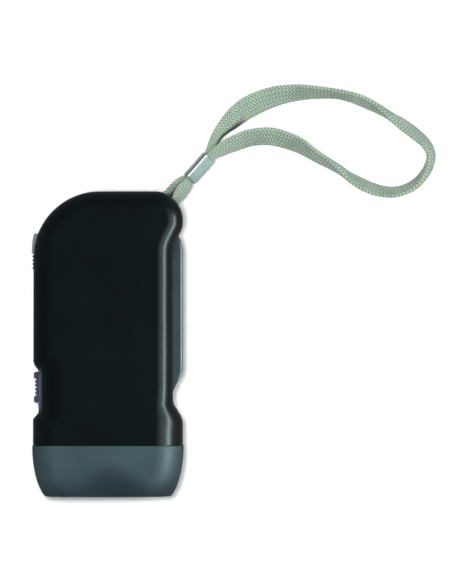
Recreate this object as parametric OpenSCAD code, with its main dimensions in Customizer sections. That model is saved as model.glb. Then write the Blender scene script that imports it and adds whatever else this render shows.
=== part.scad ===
// Squeeze dynamo torch with a wrist strap, lying on its side.
// +Z points up through the two side shells and the beam leaves along -Y.
// +X is the lever side, -X the thumb side, and +Y the strap end.

/* [Body] */
// Length of the black body, rear end to head joint
body_l = 86; // [82:0.5:95]
// Width of the body, thumb side to lever side
body_w = 50.6; // [49:0.2:56]
// Thickness of the body through both shells
body_t = 38; // [37:0.5:44]
// Wall of the shells
wall = 2; // [1.6:0.1:2.4]
// Rounding of the long edges
edge_r = 5.5; // [4:0.1:6.5]
// Corner radius at the rear, thumb side
rear_thumb_r = 22.4; // [19:0.2:24]
// Corner radius at the rear, lever side
rear_lever_r = 9.5; // [8:0.1:10]

/* [Lever recess] */
// Depth of the recess in the lever side
waist_d = 3.4; // [2.8:0.1:4]
// Rear end of the recess floor, from the rear end
waist_rear = 18.7; // [18:0.1:21]
// Front end of the recess floor, from the head joint
waist_front = 14.1; // [13:0.1:15]
// Length of the slope at the rear of the recess
rear_slope = 6.8; // [5:0.1:7]
// Length of the slope at the front of the recess
front_slope = 5.4; // [4.5:0.1:6.5]

/* [Head] */
// Length of the smoke-grey head
head_l = 17.4; // [15:0.1:22]
// How far the head draws in towards its front face
head_taper = 6.1; // [4:0.1:6.5]
// Step from the body out to the head
head_proud = 0.3; // [0.1:0.1:0.6]
// Wall of the head
head_wall = 1.8; // [1.4:0.1:2.2]
// Length of the collar that the head snaps over
collar_l = 4; // [3:0.1:4.5]
// Thickness of the clear front lens
lens_t = 2; // [1.5:0.1:2.5]
// Lip of the head in front of the lens
lens_lip = 1.2; // [0.8:0.1:1.6]
// Border of the head around the lens opening
lens_border = 2; // [1.5:0.1:3]
// Distance between neighbouring lamps
led_pitch = 11.6; // [11:0.1:12.2]
// Radius of a lamp
led_r = 2.5; // [2:0.1:2.6]
// Radius of a reflector cup at its front
cup_r = 5.6; // [4.5:0.1:5.7]

/* [Lever] */
// Height of the lever across the torch
lever_h = 20; // [18:0.5:22]
// How far the lever stands out of the recess floor
lever_proud = 3.45; // [2.9:0.05:3.7]
// Wall of the lever
lever_wall = 2; // [1.6:0.1:2.4]
// Swing of the lever from pressed in to out
lever_open = 22; // [18:1:26]
// Hinge of the lever, in from the lever side
pivot_in = 9.9; // [9.6:0.1:11]
// Hinge of the lever, back from the head joint
pivot_back = 13.3; // [12.5:0.1:14]
// Radius of the lever pin
pin_r = 1.5; // [1.2:0.1:1.8]

/* [Gear train] */
// Drive gear centre, forward of the rear end
drive_back = 36; // [35.5:0.1:36.5]
// Drive gear centre, in from the thumb side
drive_in = 22.8; // [22.4:0.1:23.2]
// Teeth that a full sector would have
sector_teeth = 90; // [86:1:92]
// Module of the other gears
gear_m = 0.6; // [0.56:0.01:0.62]
// Teeth of each pinion
pinion_teeth = 12; // [11:1:13]
// Teeth of the drive gear
drive_teeth = 36; // [32:1:37]
// Teeth of the idler gear
idler_teeth = 33; // [30:1:34]
// Radius of the gear axles
axle_r = 1.1; // [0.9:0.05:1.3]

/* [Generator] */
// Radius of the stator cup
stator_r = 10; // [9:0.1:10.4]
// Radius of the rotor magnet
magnet_r = 5; // [4.4:0.1:5.2]
// Radius of the flywheel
flywheel_r = 9.2; // [8:0.1:10]
// Radius of the rotor shaft
shaft_r = 1; // [0.8:0.05:1.2]

/* [Switch and button] */
// Depth of the switch notch
notch_d = 1.8; // [1.4:0.1:2]
// Front end of the notch floor, from the head joint
notch_front = 11.1; // [11:0.1:13]
// Length of the notch floor
notch_l = 14.4; // [14:0.1:17]
// Length of the slope at each end of the notch
notch_slope = 2.2; // [2:0.1:3]
// Length of the switch knob
knob_l = 10.4; // [9:0.1:11]
// Height of the switch knob across the torch
knob_h = 10; // [8:0.5:12]
// Travel of the switch knob
knob_travel = 2.5; // [1.5:0.1:2.8]
// Length of the release button
button_l = 6.8; // [6:0.1:7.2]
// Height of the release button across the torch
button_h = 10; // [8:0.5:12]
// Travel of the release button
button_travel = 1; // [0.6:0.1:1.2]
// Count of the grip ribs beside the button
rib_count = 4; // [2:1:6]
// Distance between the grip ribs
rib_pitch = 1.3; // [1:0.1:1.6]

/* [Strap] */
// Width of the webbing
strap_w = 8; // [6:0.5:9]
// Thickness of the webbing
strap_t = 1; // [0.8:0.05:1.2]
// Radius of the strap pin
strap_pin_r = 1.25; // [1:0.05:1.3]
// Length of the metal crimp
crimp_l = 10; // [8:0.1:11]
// Sheet thickness of the crimp
crimp_t = 0.35; // [0.3:0.05:0.6]

/* [Fits] */
// Radial clearance of a running fit
run_fit = 0.05; // [0.02:0.01:0.1]
// Radial clearance of a seated pin or screw
seat_fit = 0.02; // [0.01:0.01:0.05]
// Gap between a moving piece and the casing
free_gap = 0.4; // [0.3:0.05:0.6]
// Gap between pieces that are set side by side
set_gap = 0.2; // [0.15:0.05:0.3]

/* [Hidden] */
$fn = 48;
eps = 0.5;

// Main levels and edges
mid = body_t / 2;
rear_y = (body_l + head_l) / 2;
joint_y = rear_y - body_l;
front_y = -rear_y;
lever_x = body_w / 2;
thumb_x = -body_w / 2;
waist_x = lever_x - waist_d;
notch_x = thumb_x + notch_d;
waist_rear_y = rear_y - waist_rear;
waist_front_y = joint_y + waist_front;
notch_front_y = joint_y + notch_front;
notch_rear_y = notch_front_y + notch_l;

// Corners of the body seen from above: x, y, radius, share of the edge rounding on the next side
outline = [
  [thumb_x, joint_y, 0.5, 0],
  [lever_x, joint_y, 0.5, 1],
  [lever_x, waist_front_y - front_slope, 6, 1],
  [waist_x, waist_front_y, 4, 1],
  [waist_x, waist_rear_y, 8, 1],
  [lever_x, waist_rear_y + rear_slope, 6, 1],
  [lever_x, rear_y, rear_lever_r, 1],
  [thumb_x, rear_y, rear_thumb_r, 1],
  [thumb_x, notch_rear_y + notch_slope, 3.2, 1],
  [notch_x, notch_rear_y, 1.2, 1],
  [notch_x, notch_front_y, 1, 1],
  [thumb_x, notch_front_y - notch_slope, 1.2, 1]
];
// Facets on each of those corners, and the least radius that a corner keeps
arc_steps = [3, 3, 5, 5, 4, 4, 10, 12, 5, 4, 3, 4];
least_r = 0.5;

// Lever hinge and gear centres
pressure = 20;
shift = 0.3;
addendum = 0.9;
dedendum = 1.2;
backlash = 0.2;
pivot = [lever_x - pivot_in, joint_y + pivot_back];
drive_at = [thumb_x + drive_in, rear_y - drive_back];
sector_aim = atan2(drive_at[1] - pivot[1], drive_at[0] - pivot[0]);
sector_m = 2 * norm(drive_at - pivot) / (sector_teeth + pinion_teeth);
sector_pitch_r = sector_m * sector_teeth / 2;
drive_pitch_r = gear_m * drive_teeth / 2;
idler_pitch_r = gear_m * idler_teeth / 2;
pinion_pitch_r = gear_m * pinion_teeth / 2;
drive_aim = 125;
idler_aim = 7;
idler_at = drive_at + (drive_pitch_r + pinion_pitch_r) * dir(drive_aim);
rotor_at = idler_at + (idler_pitch_r + pinion_pitch_r) * dir(idler_aim);
half_pinion = 180 / pinion_teeth;

// Levels of the gear train, from the middle plane
web_h = 4;
clutch_h = 5.2;
drive_z = mid + 3.4;
drive_h = 2.8;
idler_z = mid - 5.6;
idler_h = 2.5;
fly_h = 1.6;
fly_z = idler_z - free_gap - fly_h;
plate_z = mid + 7.5;
plate_t = 1.5;
stator_top = fly_z - free_gap;

// Lever
lever_low = mid - lever_h / 2;
lever_top = mid + lever_h / 2;
lever_out_x = waist_x + lever_proud;
lever_in_x = lever_out_x - 5.9;
lever_tip_y = waist_rear_y + 3.8;
lever_heel_y = waist_front_y + 10.8;
hub_r = 4.3;
hub_skin = 0.85;
core_r = pin_r + 0.8;
spring_leg = 7;
catch_y = lever_tip_y - 1.9;
catch_x = lever_in_x - 4.4;
catch_z = lever_top - 3;

// Casing screws and bosses
screw_at = [
  [thumb_x + 5.8, joint_y + 4.8],
  [lever_x - 6.3, joint_y + 4.8],
  [thumb_x + 5.8, drive_at[1] + 0.8],
  [drive_at[0] + 5, rear_y - 5.7]
];
boss_r = 3.2;
pilot_boss_r = 2.5;
screw_r = 1.25;
screw_head_r = 2.2;
screw_head_h = 1.6;
screw_seat_z = 8;
screw_into = 10;

// Gear plate feet
foot_at = [
  rotor_at + [-6.6, 13],
  [lever_x - 12.75, rear_y - 10.6],
  drive_at + [-15, -8.6]
];
foot_r = 2.2;
small_screw_r = 0.95;
small_head_h = 1.3;

// Release button and latch
button_y = rear_y - rear_thumb_r + 1.4;
button_mid_y = button_y + button_l / 2;
button_shift = [-0.6, 2.4];
flange_t = 0.7;
flange_lap = 0.8;
flange_out = wall + free_gap;
flange_in = flange_out + flange_t;
stop_y = [button_y + button_l - 1.4, button_y + button_l + 0.6];
stop_x = rear_arc_x(flange_in, stop_y[1]) + button_travel + set_gap;
stop_t = 1.2;
latch_at = [thumb_x + 12.8, rear_y - 10.3];
latch_z = plate_z + plate_t + small_head_h + 0.5;
latch_h = 2;
latch_tip = [catch_x + 2.6, lever_tip_y - 0.4];
heel_w = 2.4;
heel_x = rear_arc_x(flange_in, button_mid_y + heel_w / 2) + set_gap;
latch_pin_r = 1;

// Switch and circuit board
knob_y = notch_front_y + notch_l - knob_l / 2 - 0.7;
board_z = mid - 6;
board_t = 1.6;
board_x = [thumb_x + 3.8, pivot[0] - 15.4];
board_y = [joint_y + 8.6, pivot[1] + 17];
board_top = board_z + board_t;
board_post_r = 1.6;
switch_in = notch_x + wall + 0.4;
switch_w = 4.6;
switch_l = 11;
slider_w = 2.4;
slider_h = 2;
cell_r = 8;
cell_h = 3.2;
cell_at = [(board_x[0] + board_x[1]) / 2 + 2.5, (board_y[0] + board_y[1]) / 2 + 1.5];
cell_z = board_z - 0.4 - cell_h;

// Head
head_half_w = body_w / 2 + head_proud;
head_half_t = body_t / 2;
head_corner_r = edge_r + 0.3;
lens_half_w = head_half_w - head_taper;
lens_half_t = head_half_t - head_taper;
lens_y = front_y + lens_lip + set_gap;
reflector_l = 10;
reflector_y = lens_y + lens_t + set_gap;
led_board_t = 1.4;
led_board_y = joint_y - set_gap;

// Strap pin, slot and crimp
strap_aim = 47;
strap_pin_at = [lever_x - 6.6, rear_y - 6.05];
slot_w = 6.8;
crimp_at = [30.75, 59.8, 17.3];
crimp_aim = 48.6;
crimp_dip = -8;
crimp_roll = 53;
crimp_in_w = 3.9;
crimp_in_t = 2.1;

// Webbing route: x, y, z, roll from flat, width share; it starts and ends inside the crimp
strap_route = [
  [30.1, 59.6, 17, 143, 0.4],
  [27.25, 56.35, 17.6, 139, 0.42],
  [24.7, 55, 18.3, 82, 0.75],
  [21.9, 52.4, 19, 75, 1],
  [18.7, 49, 19, 88, 1],
  [17.3, 47, 19, 90, 1],
  [16.9, 45.4, 19, 90, 1],
  [17.6, 44.2, 19, 90, 1],
  [18.8, 43.8, 19, 90, 1],
  [20, 44.4, 19, 90, 1],
  [22, 47.3, 19, 84, 1],
  [24.3, 50.9, 18.8, 64, 1],
  [26.4, 53.8, 18.5, 52, 0.75],
  [27.9, 56, 18.3, 37, 0.42],
  [34.2, 63.2, 16.9, 37, 0.42],
  [39.2, 66.7, 14.5, 44, 0.8],
  [44.4, 69, 11.6, 48, 1],
  [49, 70.4, 9.2, 48, 1],
  [54, 70.8, 7.2, 45, 1],
  [59, 69.9, 5.8, 48, 1],
  [64.2, 68, 4.9, 53, 1],
  [68.6, 65.4, 4.4, 64, 1],
  [73.2, 62.6, 4.4, 72, 1],
  [78.2, 59.8, 4.4, 86, 1],
  [82.8, 56.7, 4.4, 110, 1],
  [87.8, 53.9, 4.3, 117, 1],
  [92.9, 52.2, 4.3, 115, 1],
  [98, 51.9, 4.3, 112, 1],
  [103.1, 53.6, 4.4, 108, 1],
  [107, 57, 4.4, 99, 1],
  [109.4, 61, 4.4, 85, 1],
  [110, 65, 4.4, 74, 1],
  [107.6, 69.2, 4.4, 66, 1],
  [101.4, 74.2, 4.3, 63, 1],
  [95.7, 78.1, 4.3, 78, 1],
  [90, 81.2, 4.3, 106, 1],
  [84.4, 83.7, 4.4, 110, 1],
  [78.6, 85.2, 4.4, 106, 1],
  [72, 85.8, 4.4, 116, 1],
  [65.2, 85.8, 4.6, 128, 1],
  [58.4, 84.9, 5.2, 142, 1],
  [52.2, 82.9, 6.4, 153, 1],
  [46.6, 80.1, 8.4, 155, 1],
  [41.6, 76.1, 11, 148, 0.9],
  [37, 71.1, 13.8, 141, 0.6],
  [33.65, 63.75, 16.3, 143, 0.42],
  [30.8, 60.4, 16.9, 143, 0.4]
];

// Unit vector at an angle
function dir(a) = [cos(a), sin(a)];
// Vector turned a quarter turn to the left
function left(v) = [-v[1], v[0]];
// First two values of a point
function flat(p) = [p[0], p[1]];
// Vector of length one
function unit(v) = v / norm(v);
// Middle of the box around a loop
function middle(loop) = [for (k = [0:2])
  let (values = [for (p = loop) p[k]])
  (min(values) + max(values)) / 2];
// Points of a flat loop set at one height
function lift(points, z) = [for (p = points) [p[0], p[1], z]];

// Arc of radius r that rounds the corner at q between p and s
function corner(p, q, s, r, n) =
  let (a = unit(q - p), b = unit(s - q))
  let (turn = atan2(cross(a, b), a * b))
  let (start = q - a * r * tan(abs(turn) / 2))
  let (centre = start + left(a) * r * sign(turn))
  let (from = atan2(start[1] - centre[1], start[0] - centre[0]))
  [for (i = [0:n]) centre + r * dir(from + turn * i / n)];

// Loop of points through corners that each have their own radius
function rounded(v, steps) =
  let (n = len(v))
  [for (i = [0:n - 1])
    each corner(flat(v[(i + n - 1) % n]), flat(v[i]), flat(v[(i + 1) % n]), v[i][2], steps[i])];

// Corners moved inwards by base, and by extra on the sides that take the edge rounding
function inset(v, base, extra) =
  let (n = len(v))
  let (inward = [for (i = [0:n - 1]) left(unit(flat(v[(i + 1) % n]) - flat(v[i])))])
  let (depth = [for (p = v) base + extra * p[3]])
  [for (i = [0:n - 1])
    let (j = (i + n - 1) % n)
    let (c = inward[j] * inward[i])
    let (along = inward[j] * (depth[j] - depth[i] * c) + inward[i] * (depth[i] - depth[j] * c))
    let (at = flat(v[i]) + along / (1 - c * c))
    let (convex = cross(inward[j], inward[i]) > 0)
    let (r = v[i][2] + (convex ? -min(depth[i], depth[j]) : max(depth[i], depth[j])))
    [at[0], at[1], max(r, least_r), v[i][3]]];

// Place across of the rear thumb corner at y, moved inwards by a depth
function rear_arc_x(depth, y) =
  thumb_x + rear_thumb_r - sqrt(pow(rear_thumb_r - depth, 2) - pow(y - rear_y + rear_thumb_r, 2));

// Loop of the body, moved inwards
function body_loop(base, extra = 0) = rounded(inset(outline, base, extra), arc_steps);

// Rounded rectangle as a loop of points
function box_loop(half_w, half_t, r, n = 6) =
  rounded([[-half_w, -half_t, r], [half_w, -half_t, r], [half_w, half_t, r], [-half_w, half_t, r]],
    [n, n, n, n]);

// Rings of a half body, from below its rim to its flat face
function half_rings() =
  concat(
    [lift(body_loop(0), -eps)],
    [for (a = [0:15:90])
      lift(body_loop(0, edge_r * (1 - cos(a))), mid - edge_r * (1 - sin(a)))]);

// Angle between the start of an involute and its point at radius r
function involute(base_r, r) =
  let (t = sqrt(max(pow(r / base_r, 2) - 1, 0)))
  t * 180 / PI - atan(t);

// Points of one gear tooth at an angle
function tooth(m, teeth, x, angle) =
  let (pitch_r = m * teeth / 2)
  let (base_r = pitch_r * cos(pressure))
  let (root_r = pitch_r - m * (dedendum - x))
  let (tip_r = pitch_r + m * (addendum + x))
  let (thick = m * (PI / 2 + 2 * x * tan(pressure)) - backlash)
  let (wide = thick / pitch_r * 90 / PI + involute(base_r, pitch_r))
  let (low_r = max(base_r, root_r + 0.02))
  let (radii = [for (i = [0:3]) low_r + (tip_r - low_r) * i / 3])
  concat(
    [root_r * dir(angle - wide)],
    [for (i = [0:3]) radii[i] * dir(angle - wide + involute(base_r, radii[i]))],
    [for (i = [3:-1:0]) radii[i] * dir(angle + wide - involute(base_r, radii[i]))],
    [root_r * dir(angle + wide)]);

// Points of a whole gear
function gear(m, teeth, x, phase) =
  [for (k = [0:teeth - 1]) each tooth(m, teeth, x, phase + k * 360 / teeth)];

// Points of a coil spring around a centre
function coil(at, r, z, pitch, from, turns, steps = 10) =
  [for (i = [0:turns * steps])
    [at[0] + r * cos(from + i * 360 / steps), at[1] + r * sin(from + i * 360 / steps),
      z + pitch * i / steps]];

// Smooth curve through the rows of a route, with one row added between neighbours
function smooth(rows) =
  let (n = len(rows))
  [for (i = [0:n - 1]) each concat(
    [rows[i]],
    i == n - 1 ? [] :
      [(9 * (rows[i] + rows[i + 1]) - rows[max(i - 1, 0)] - rows[min(i + 2, n - 1)]) / 16])];

// Direction of travel at row i
function travel(rows, i) =
  let (a = rows[max(i - 1, 0)], b = rows[min(i + 1, len(rows) - 1)])
  unit([b[0] - a[0], b[1] - a[1], b[2] - a[2]]);

// Ring of a swept section at row i, turned by roll about the direction of travel
function swept_ring(rows, i, section, roll) =
  let (t = travel(rows, i))
  let (side = unit([-t[1], t[0], 0]))
  let (up = cross(t, side))
  let (across = side * cos(roll) + up * sin(roll))
  let (away = cross(t, across))
  [for (s = section) [rows[i][0], rows[i][1], rows[i][2]] + across * s[0] + away * s[1]];

// Flat section of the webbing
function strap_section(w, t) =
  [[w / 2, -t / 4], [w / 2, t / 4], [w / 2 - t / 4, t / 2], [-w / 2 + t / 4, t / 2],
    [-w / 2, t / 4], [-w / 2, -t / 4], [-w / 2 + t / 4, -t / 2], [w / 2 - t / 4, -t / 2]];

// Solid skinned over a row of loops, capped at both ends
module skin(rings) {
  n = len(rings[0]);
  last = len(rings) - 1;
  sides = [for (j = [0:last - 1], i = [0:n - 1])
    let (k = (i + 1) % n)
    each [
      [j * n + i, (j + 1) * n + i, (j + 1) * n + k],
      [j * n + i, (j + 1) * n + k, j * n + k]
    ]];
  total = n * (last + 1);
  low_cap = [for (i = [0:n - 1]) [i, (i + 1) % n, total]];
  high_cap = [for (i = [0:n - 1]) [last * n + (i + 1) % n, last * n + i, total + 1]];
  points = concat([for (r = rings) each r], [middle(rings[0]), middle(rings[last])]);
  polyhedron(points, concat(sides, low_cap, high_cap));
}

// Solid skinned over a row of loops that closes on itself
module ring_skin(rings) {
  n = len(rings[0]);
  m = len(rings);
  sides = [for (j = [0:m - 1], i = [0:n - 1])
    let (k = (i + 1) % n, up = (j + 1) % m)
    each [[j * n + i, up * n + i, up * n + k], [j * n + i, up * n + k, j * n + k]]];
  polyhedron([for (r = rings) each r], sides);
}

// Round wire swept along points
module wire(points, r) {
  section = [for (a = [0:60:300]) r * dir(a)];
  skin([for (i = [0:len(points) - 1]) swept_ring(points, i, section, 0)]);
}

// Cylinder that stands at a point between two heights
module post(at, r, low, high) {
  translate([at[0], at[1], low]) cylinder(r = r, h = high - low);
}

// Box between two corners
module block(low, high) {
  translate(low) cube(high - low);
}

// Straight bar between two points
module bar(p, q, w, low, high) {
  length = norm(q - p);
  translate([p[0], p[1], low])
    rotate(atan2(q[1] - p[1], q[0] - p[0]))
      translate([0, -w / 2, 0]) cube([length, w, high - low]);
}

// Rounded rectangle
module plate_shape(half_w, half_t, r) {
  square([2 * half_w, 2 * (half_t - r)], center = true);
  square([2 * (half_w - r), 2 * half_t], center = true);
  for (x = [-1, 1], y = [-1, 1])
    translate([x * (half_w - r), y * (half_t - r)]) circle(r);
}

// Flat shape stood up across the torch, from y towards the front
module slab(y, depth) {
  translate([0, y, mid]) rotate([90, 0, 0]) linear_extrude(depth) children();
}

// Round bar along the torch, from y towards the front
module rod(x, z, y, depth, r1, r2) {
  translate([x, y, z]) rotate([90, 0, 0]) cylinder(r1 = r1, r2 = r2, h = depth);
}

// Body outline moved inwards and raised to a height
module body_prism(base, low, high) {
  translate([0, 0, low]) linear_extrude(high - low) polygon(body_loop(base));
}

// Hollow half of the body with its rim at height 0 and its flat face up
module half_body() {
  inner_r = max(edge_r - wall, 1);
  difference() {
    skin(half_rings());
    block([-body_w, front_y, -mid], [body_w, body_l, 0]);
    for (a = [0:30:90])
      translate([0, 0, -mid]) linear_extrude(2 * mid - wall - inner_r * (1 - sin(a)))
        polygon(body_loop(wall, inner_r * (1 - cos(a))));
  }
}

// Half of the collar that carries the head
module collar() {
  half_w = head_half_w - head_wall - free_gap + 0.1;
  half_t = head_half_t - head_wall - free_gap + 0.1;
  slab(joint_y + eps, collar_l + eps) difference() {
    plate_shape(half_w, half_t, head_corner_r - head_wall);
    plate_shape(half_w - head_wall, half_t - head_wall, 2);
  }
}

// Grip ribs between two heights
module grip_ribs(low, high) {
  rib_r = 0.5;
  rib_proud = 0.4;
  for (i = [0:rib_count - 1])
    post([thumb_x + rib_r - rib_proud, button_y - 1 - i * rib_pitch], rib_r, low, high);
}

// Openings in the shells for the lever, switch, button, strap and lamp leads
module shell_openings() {
  block([waist_x - wall - 1, pivot[1] - 2, lever_low - free_gap],
    [lever_x + 2, lever_tip_y + free_gap, lever_top + free_gap]);
  block([notch_x - eps, knob_y - knob_travel - 2.4 - free_gap, mid - 2.2 - free_gap],
    [notch_x + wall + eps, knob_y + 2.4 + free_gap, mid + 2.2 + free_gap]);
  block([thumb_x - 2, button_y - set_gap, mid - button_h / 2 - set_gap],
    [thumb_x + 5.5, button_y + button_l + set_gap, mid + button_h / 2 + set_gap]);
  translate([strap_pin_at[0], strap_pin_at[1], mid])
    rotate(strap_aim) translate([2, -slot_w / 2, -strap_w / 2 - 1])
      cube([10, slot_w, strap_w + 2]);
  rod(0, mid, joint_y + wall + eps, wall + 2 * eps, 3, 3);
}

module lower_shell() {
  color([0.06, 0.08, 0.09]) difference() {
    union() {
      translate([0, 0, mid]) mirror([0, 0, 1]) half_body();
      for (p = screw_at) post(p, boss_r, wall / 2, mid);
      for (p = foot_at) post(p, foot_r, wall / 2, plate_z);
      post(drive_at, foot_r, wall / 2, mid - clutch_h / 2 - free_gap);
      post(idler_at, foot_r - 0.2, wall / 2, idler_z - set_gap);
      post(pivot, pin_r + 1.7, wall / 2, lever_low - set_gap);
      post(strap_pin_at, strap_pin_r + 1.3, wall / 2, mid - strap_w / 2 - 1);
      for (x = [board_x[0] + 2, board_x[1] - 2], y = [board_y[0] + 2, board_y[1] - 2])
        post([x, y], board_post_r, wall / 2, board_z);
      block([stop_x, stop_y[0], wall / 2], [stop_x + stop_t, stop_y[1], mid - button_h / 2 + 1]);
      post(pivot + [-spring_leg, -3.3], 1.2, wall / 2, lever_low + 4.4);
      grip_ribs(mid - button_h / 2, mid);
      difference() {
        collar();
        block([-body_w, front_y, mid], [body_w, rear_y, body_t]);
      }
    }
    shell_openings();
    for (p = screw_at) {
      post(p, screw_r + 0.15, wall / 2, mid + eps);
      post(p, screw_head_r + 0.2, -eps, screw_seat_z);
    }
    for (p = foot_at) post(p, small_screw_r + seat_fit, plate_z - 8, plate_z + eps);
    post(drive_at, axle_r + seat_fit, wall + 4, mid);
    post(idler_at, axle_r + seat_fit, wall + 4, mid);
    post(pivot, pin_r + seat_fit, wall + 1.5, mid);
    post(strap_pin_at, strap_pin_r + seat_fit, mid - strap_w / 2 - 4, mid);
  }
}

module upper_shell() {
  color([0.07, 0.09, 0.1]) difference() {
    union() {
      translate([0, 0, mid]) half_body();
      for (p = screw_at) post(p, pilot_boss_r, mid, body_t - wall / 2);
      post(pivot, pin_r + 1.7, lever_top + set_gap, body_t - wall / 2);
      post(strap_pin_at, strap_pin_r + 1.3, mid + strap_w / 2 + 1, body_t - wall / 2);
      post(latch_at, latch_pin_r + 1.2, latch_z + latch_h + 1.6, body_t - wall / 2);
      grip_ribs(mid, mid + button_h / 2);
      difference() {
        collar();
        block([-body_w, front_y, 0], [body_w, rear_y, mid]);
      }
    }
    shell_openings();
    for (p = screw_at) post(p, screw_r + seat_fit, mid - eps, mid + screw_into + 1);
    post(pivot, pin_r + seat_fit, mid, body_t - wall - 1.5);
    post(strap_pin_at, strap_pin_r + seat_fit, mid, mid + strap_w / 2 + 4);
    post(latch_at, latch_pin_r + seat_fit, mid, body_t - wall);
  }
}

module housing_screws() {
  color([0.6, 0.6, 0.62]) for (p = screw_at) difference() {
    union() {
      post(p, screw_r, screw_seat_z - 0.2, mid + screw_into);
      post(p, screw_head_r, screw_seat_z - screw_head_h, screw_seat_z);
    }
    for (a = [0, 90]) translate([p[0], p[1], screw_seat_z - screw_head_h])
      rotate(a) cube([2.8, 0.6, 1.4], center = true);
  }
}

// Rings of the head, outside from the joint to the front face and back inside
function head_rings() =
  let (side = function (half_w, half_t, r, y)
    [for (p = box_loop(half_w, half_t, r)) [p[0], y, mid + p[1]]])
  let (open_w = lens_half_w - lens_border, open_t = lens_half_t - lens_border)
  let (seat_w = lens_half_w + set_gap, seat_t = lens_half_t + set_gap)
  let (back_y = lens_y + lens_t)
  concat(
    [for (a = [0:10:90])
      side(head_half_w - head_taper * (1 - cos(a)), head_half_t - head_taper * (1 - cos(a)),
        head_corner_r + 2 * (1 - cos(a)), joint_y - head_l * sin(a))],
    [
      side(open_w, open_t, head_corner_r, front_y),
      side(open_w, open_t, head_corner_r, front_y + lens_lip),
      side(seat_w, seat_t, head_corner_r + 2, front_y + lens_lip),
      side(seat_w, seat_t, head_corner_r + 2, back_y)
    ],
    [for (a = [36:-12:0])
      side(head_half_w - head_wall - head_taper * (1 - cos(a)),
        head_half_t - head_wall - head_taper * (1 - cos(a)),
        head_corner_r - head_wall, joint_y - head_l * sin(a))]);

module head_bezel() {
  color([0.3, 0.37, 0.4, 0.8]) ring_skin(head_rings());
}

module front_lens() {
  color([0.85, 0.9, 0.92, 0.4])
    slab(lens_y + lens_t, lens_t) plate_shape(lens_half_w, lens_half_t, head_corner_r + 2);
}

module reflector() {
  half_w = led_pitch + cup_r + 0.9;
  half_t = cup_r + 0.9;
  rim_t = 1.2;
  cup_l = reflector_l - 1.4;
  color([0.8, 0.82, 0.84]) difference() {
    union() {
      slab(reflector_y + reflector_l, reflector_l) plate_shape(half_w, half_t, 3);
      slab(reflector_y + rim_t, rim_t)
        plate_shape(lens_half_w - free_gap, lens_half_t - free_gap, head_corner_r + 1.6);
    }
    for (i = [-1:1]) {
      rod(i * led_pitch, mid, reflector_y + cup_l, cup_l + eps, led_r + 0.6, cup_r);
      rod(i * led_pitch, mid, reflector_y + reflector_l + eps, 3, led_r + 0.4, led_r + 0.4);
    }
  }
}

module leds() {
  back_y = reflector_y + reflector_l + set_gap;
  color([0.95, 0.95, 0.8]) for (i = [-1:1]) {
    rod(i * led_pitch, mid, back_y, 1, led_r + 0.4, led_r + 0.4);
    rod(i * led_pitch, mid, back_y, 4.4, led_r, led_r);
    translate([i * led_pitch, back_y - 4.4, mid]) sphere(led_r);
    for (s = [-1.2, 1.2])
      block([i * led_pitch + s - 0.25, back_y - 0.2, mid - 0.25],
        [i * led_pitch + s + 0.25, led_board_y - 0.1, mid + 0.25]);
  }
}

module led_board() {
  color([0.1, 0.35, 0.2]) difference() {
    slab(led_board_y, led_board_t) plate_shape(led_pitch + cup_r + 2, cup_r + 5, 2);
    for (i = [-1:1], s = [-1.2, 1.2])
      rod(i * led_pitch + s, mid, led_board_y + eps, led_board_t + 2 * eps, 0.45, 0.45);
  }
}

// Lever outline that the two flanges share
module lever_arm() {
  polygon([
    pivot + hub_r * dir(143), pivot + hub_r * dir(-37), pivot + hub_r * dir(-10),
    [lever_out_x - 2.3, lever_heel_y - 4.4], [lever_out_x, lever_heel_y],
    [lever_out_x, lever_tip_y - 5.2], [lever_out_x - 0.25, lever_tip_y - 3.4],
    [lever_out_x - 0.75, lever_tip_y - 1.6], [lever_out_x - 1.5, lever_tip_y],
    [lever_in_x, lever_tip_y], [lever_in_x, pivot[1] + 15]
  ]);
}

// Space between the flanges, behind the lever's outer skin
module lever_hollow() {
  skin_x = lever_out_x - lever_wall;
  polygon(concat(
    [pivot + [-hub_r, -hub_r]],
    [for (a = [-70:12:-10]) pivot + (hub_r - hub_skin) * dir(a)],
    [
      [skin_x - 2.3, lever_heel_y - 4.4 + lever_wall / 4], [skin_x, lever_heel_y + lever_wall / 4],
      [skin_x, lever_tip_y - 5.2], [skin_x - 1.4, lever_tip_y], [skin_x - 1.4, rear_y],
      [lever_in_x - 1, rear_y], [pivot[0] - hub_r, pivot[1] + 15]
    ]));
}

// Flat shape of the toothed sector in the lever's middle plane
module sector_shape() {
  first = -2;
  last = ceil(lever_open * sector_teeth / 360) + 2;
  step = 360 / sector_teeth;
  points = [for (k = [first:last]) each tooth(sector_m, sector_teeth, -shift, sector_aim + k * step)];
  difference() {
    union() {
      translate(pivot) polygon(concat([[0, 0]], points));
      polygon([pivot, [lever_in_x + 1, pivot[1] + 17], [lever_in_x + 1, pivot[1] + 34],
        pivot + (sector_pitch_r - 2) * dir(sector_aim + first * step)]);
      translate(pivot) circle(hub_r);
    }
    translate(pivot + 23 * dir(sector_aim + lever_open * 0.6)) circle(4.5);
    translate(pivot + 22 * dir(sector_aim - 12)) circle(3.6);
  }
}

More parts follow.
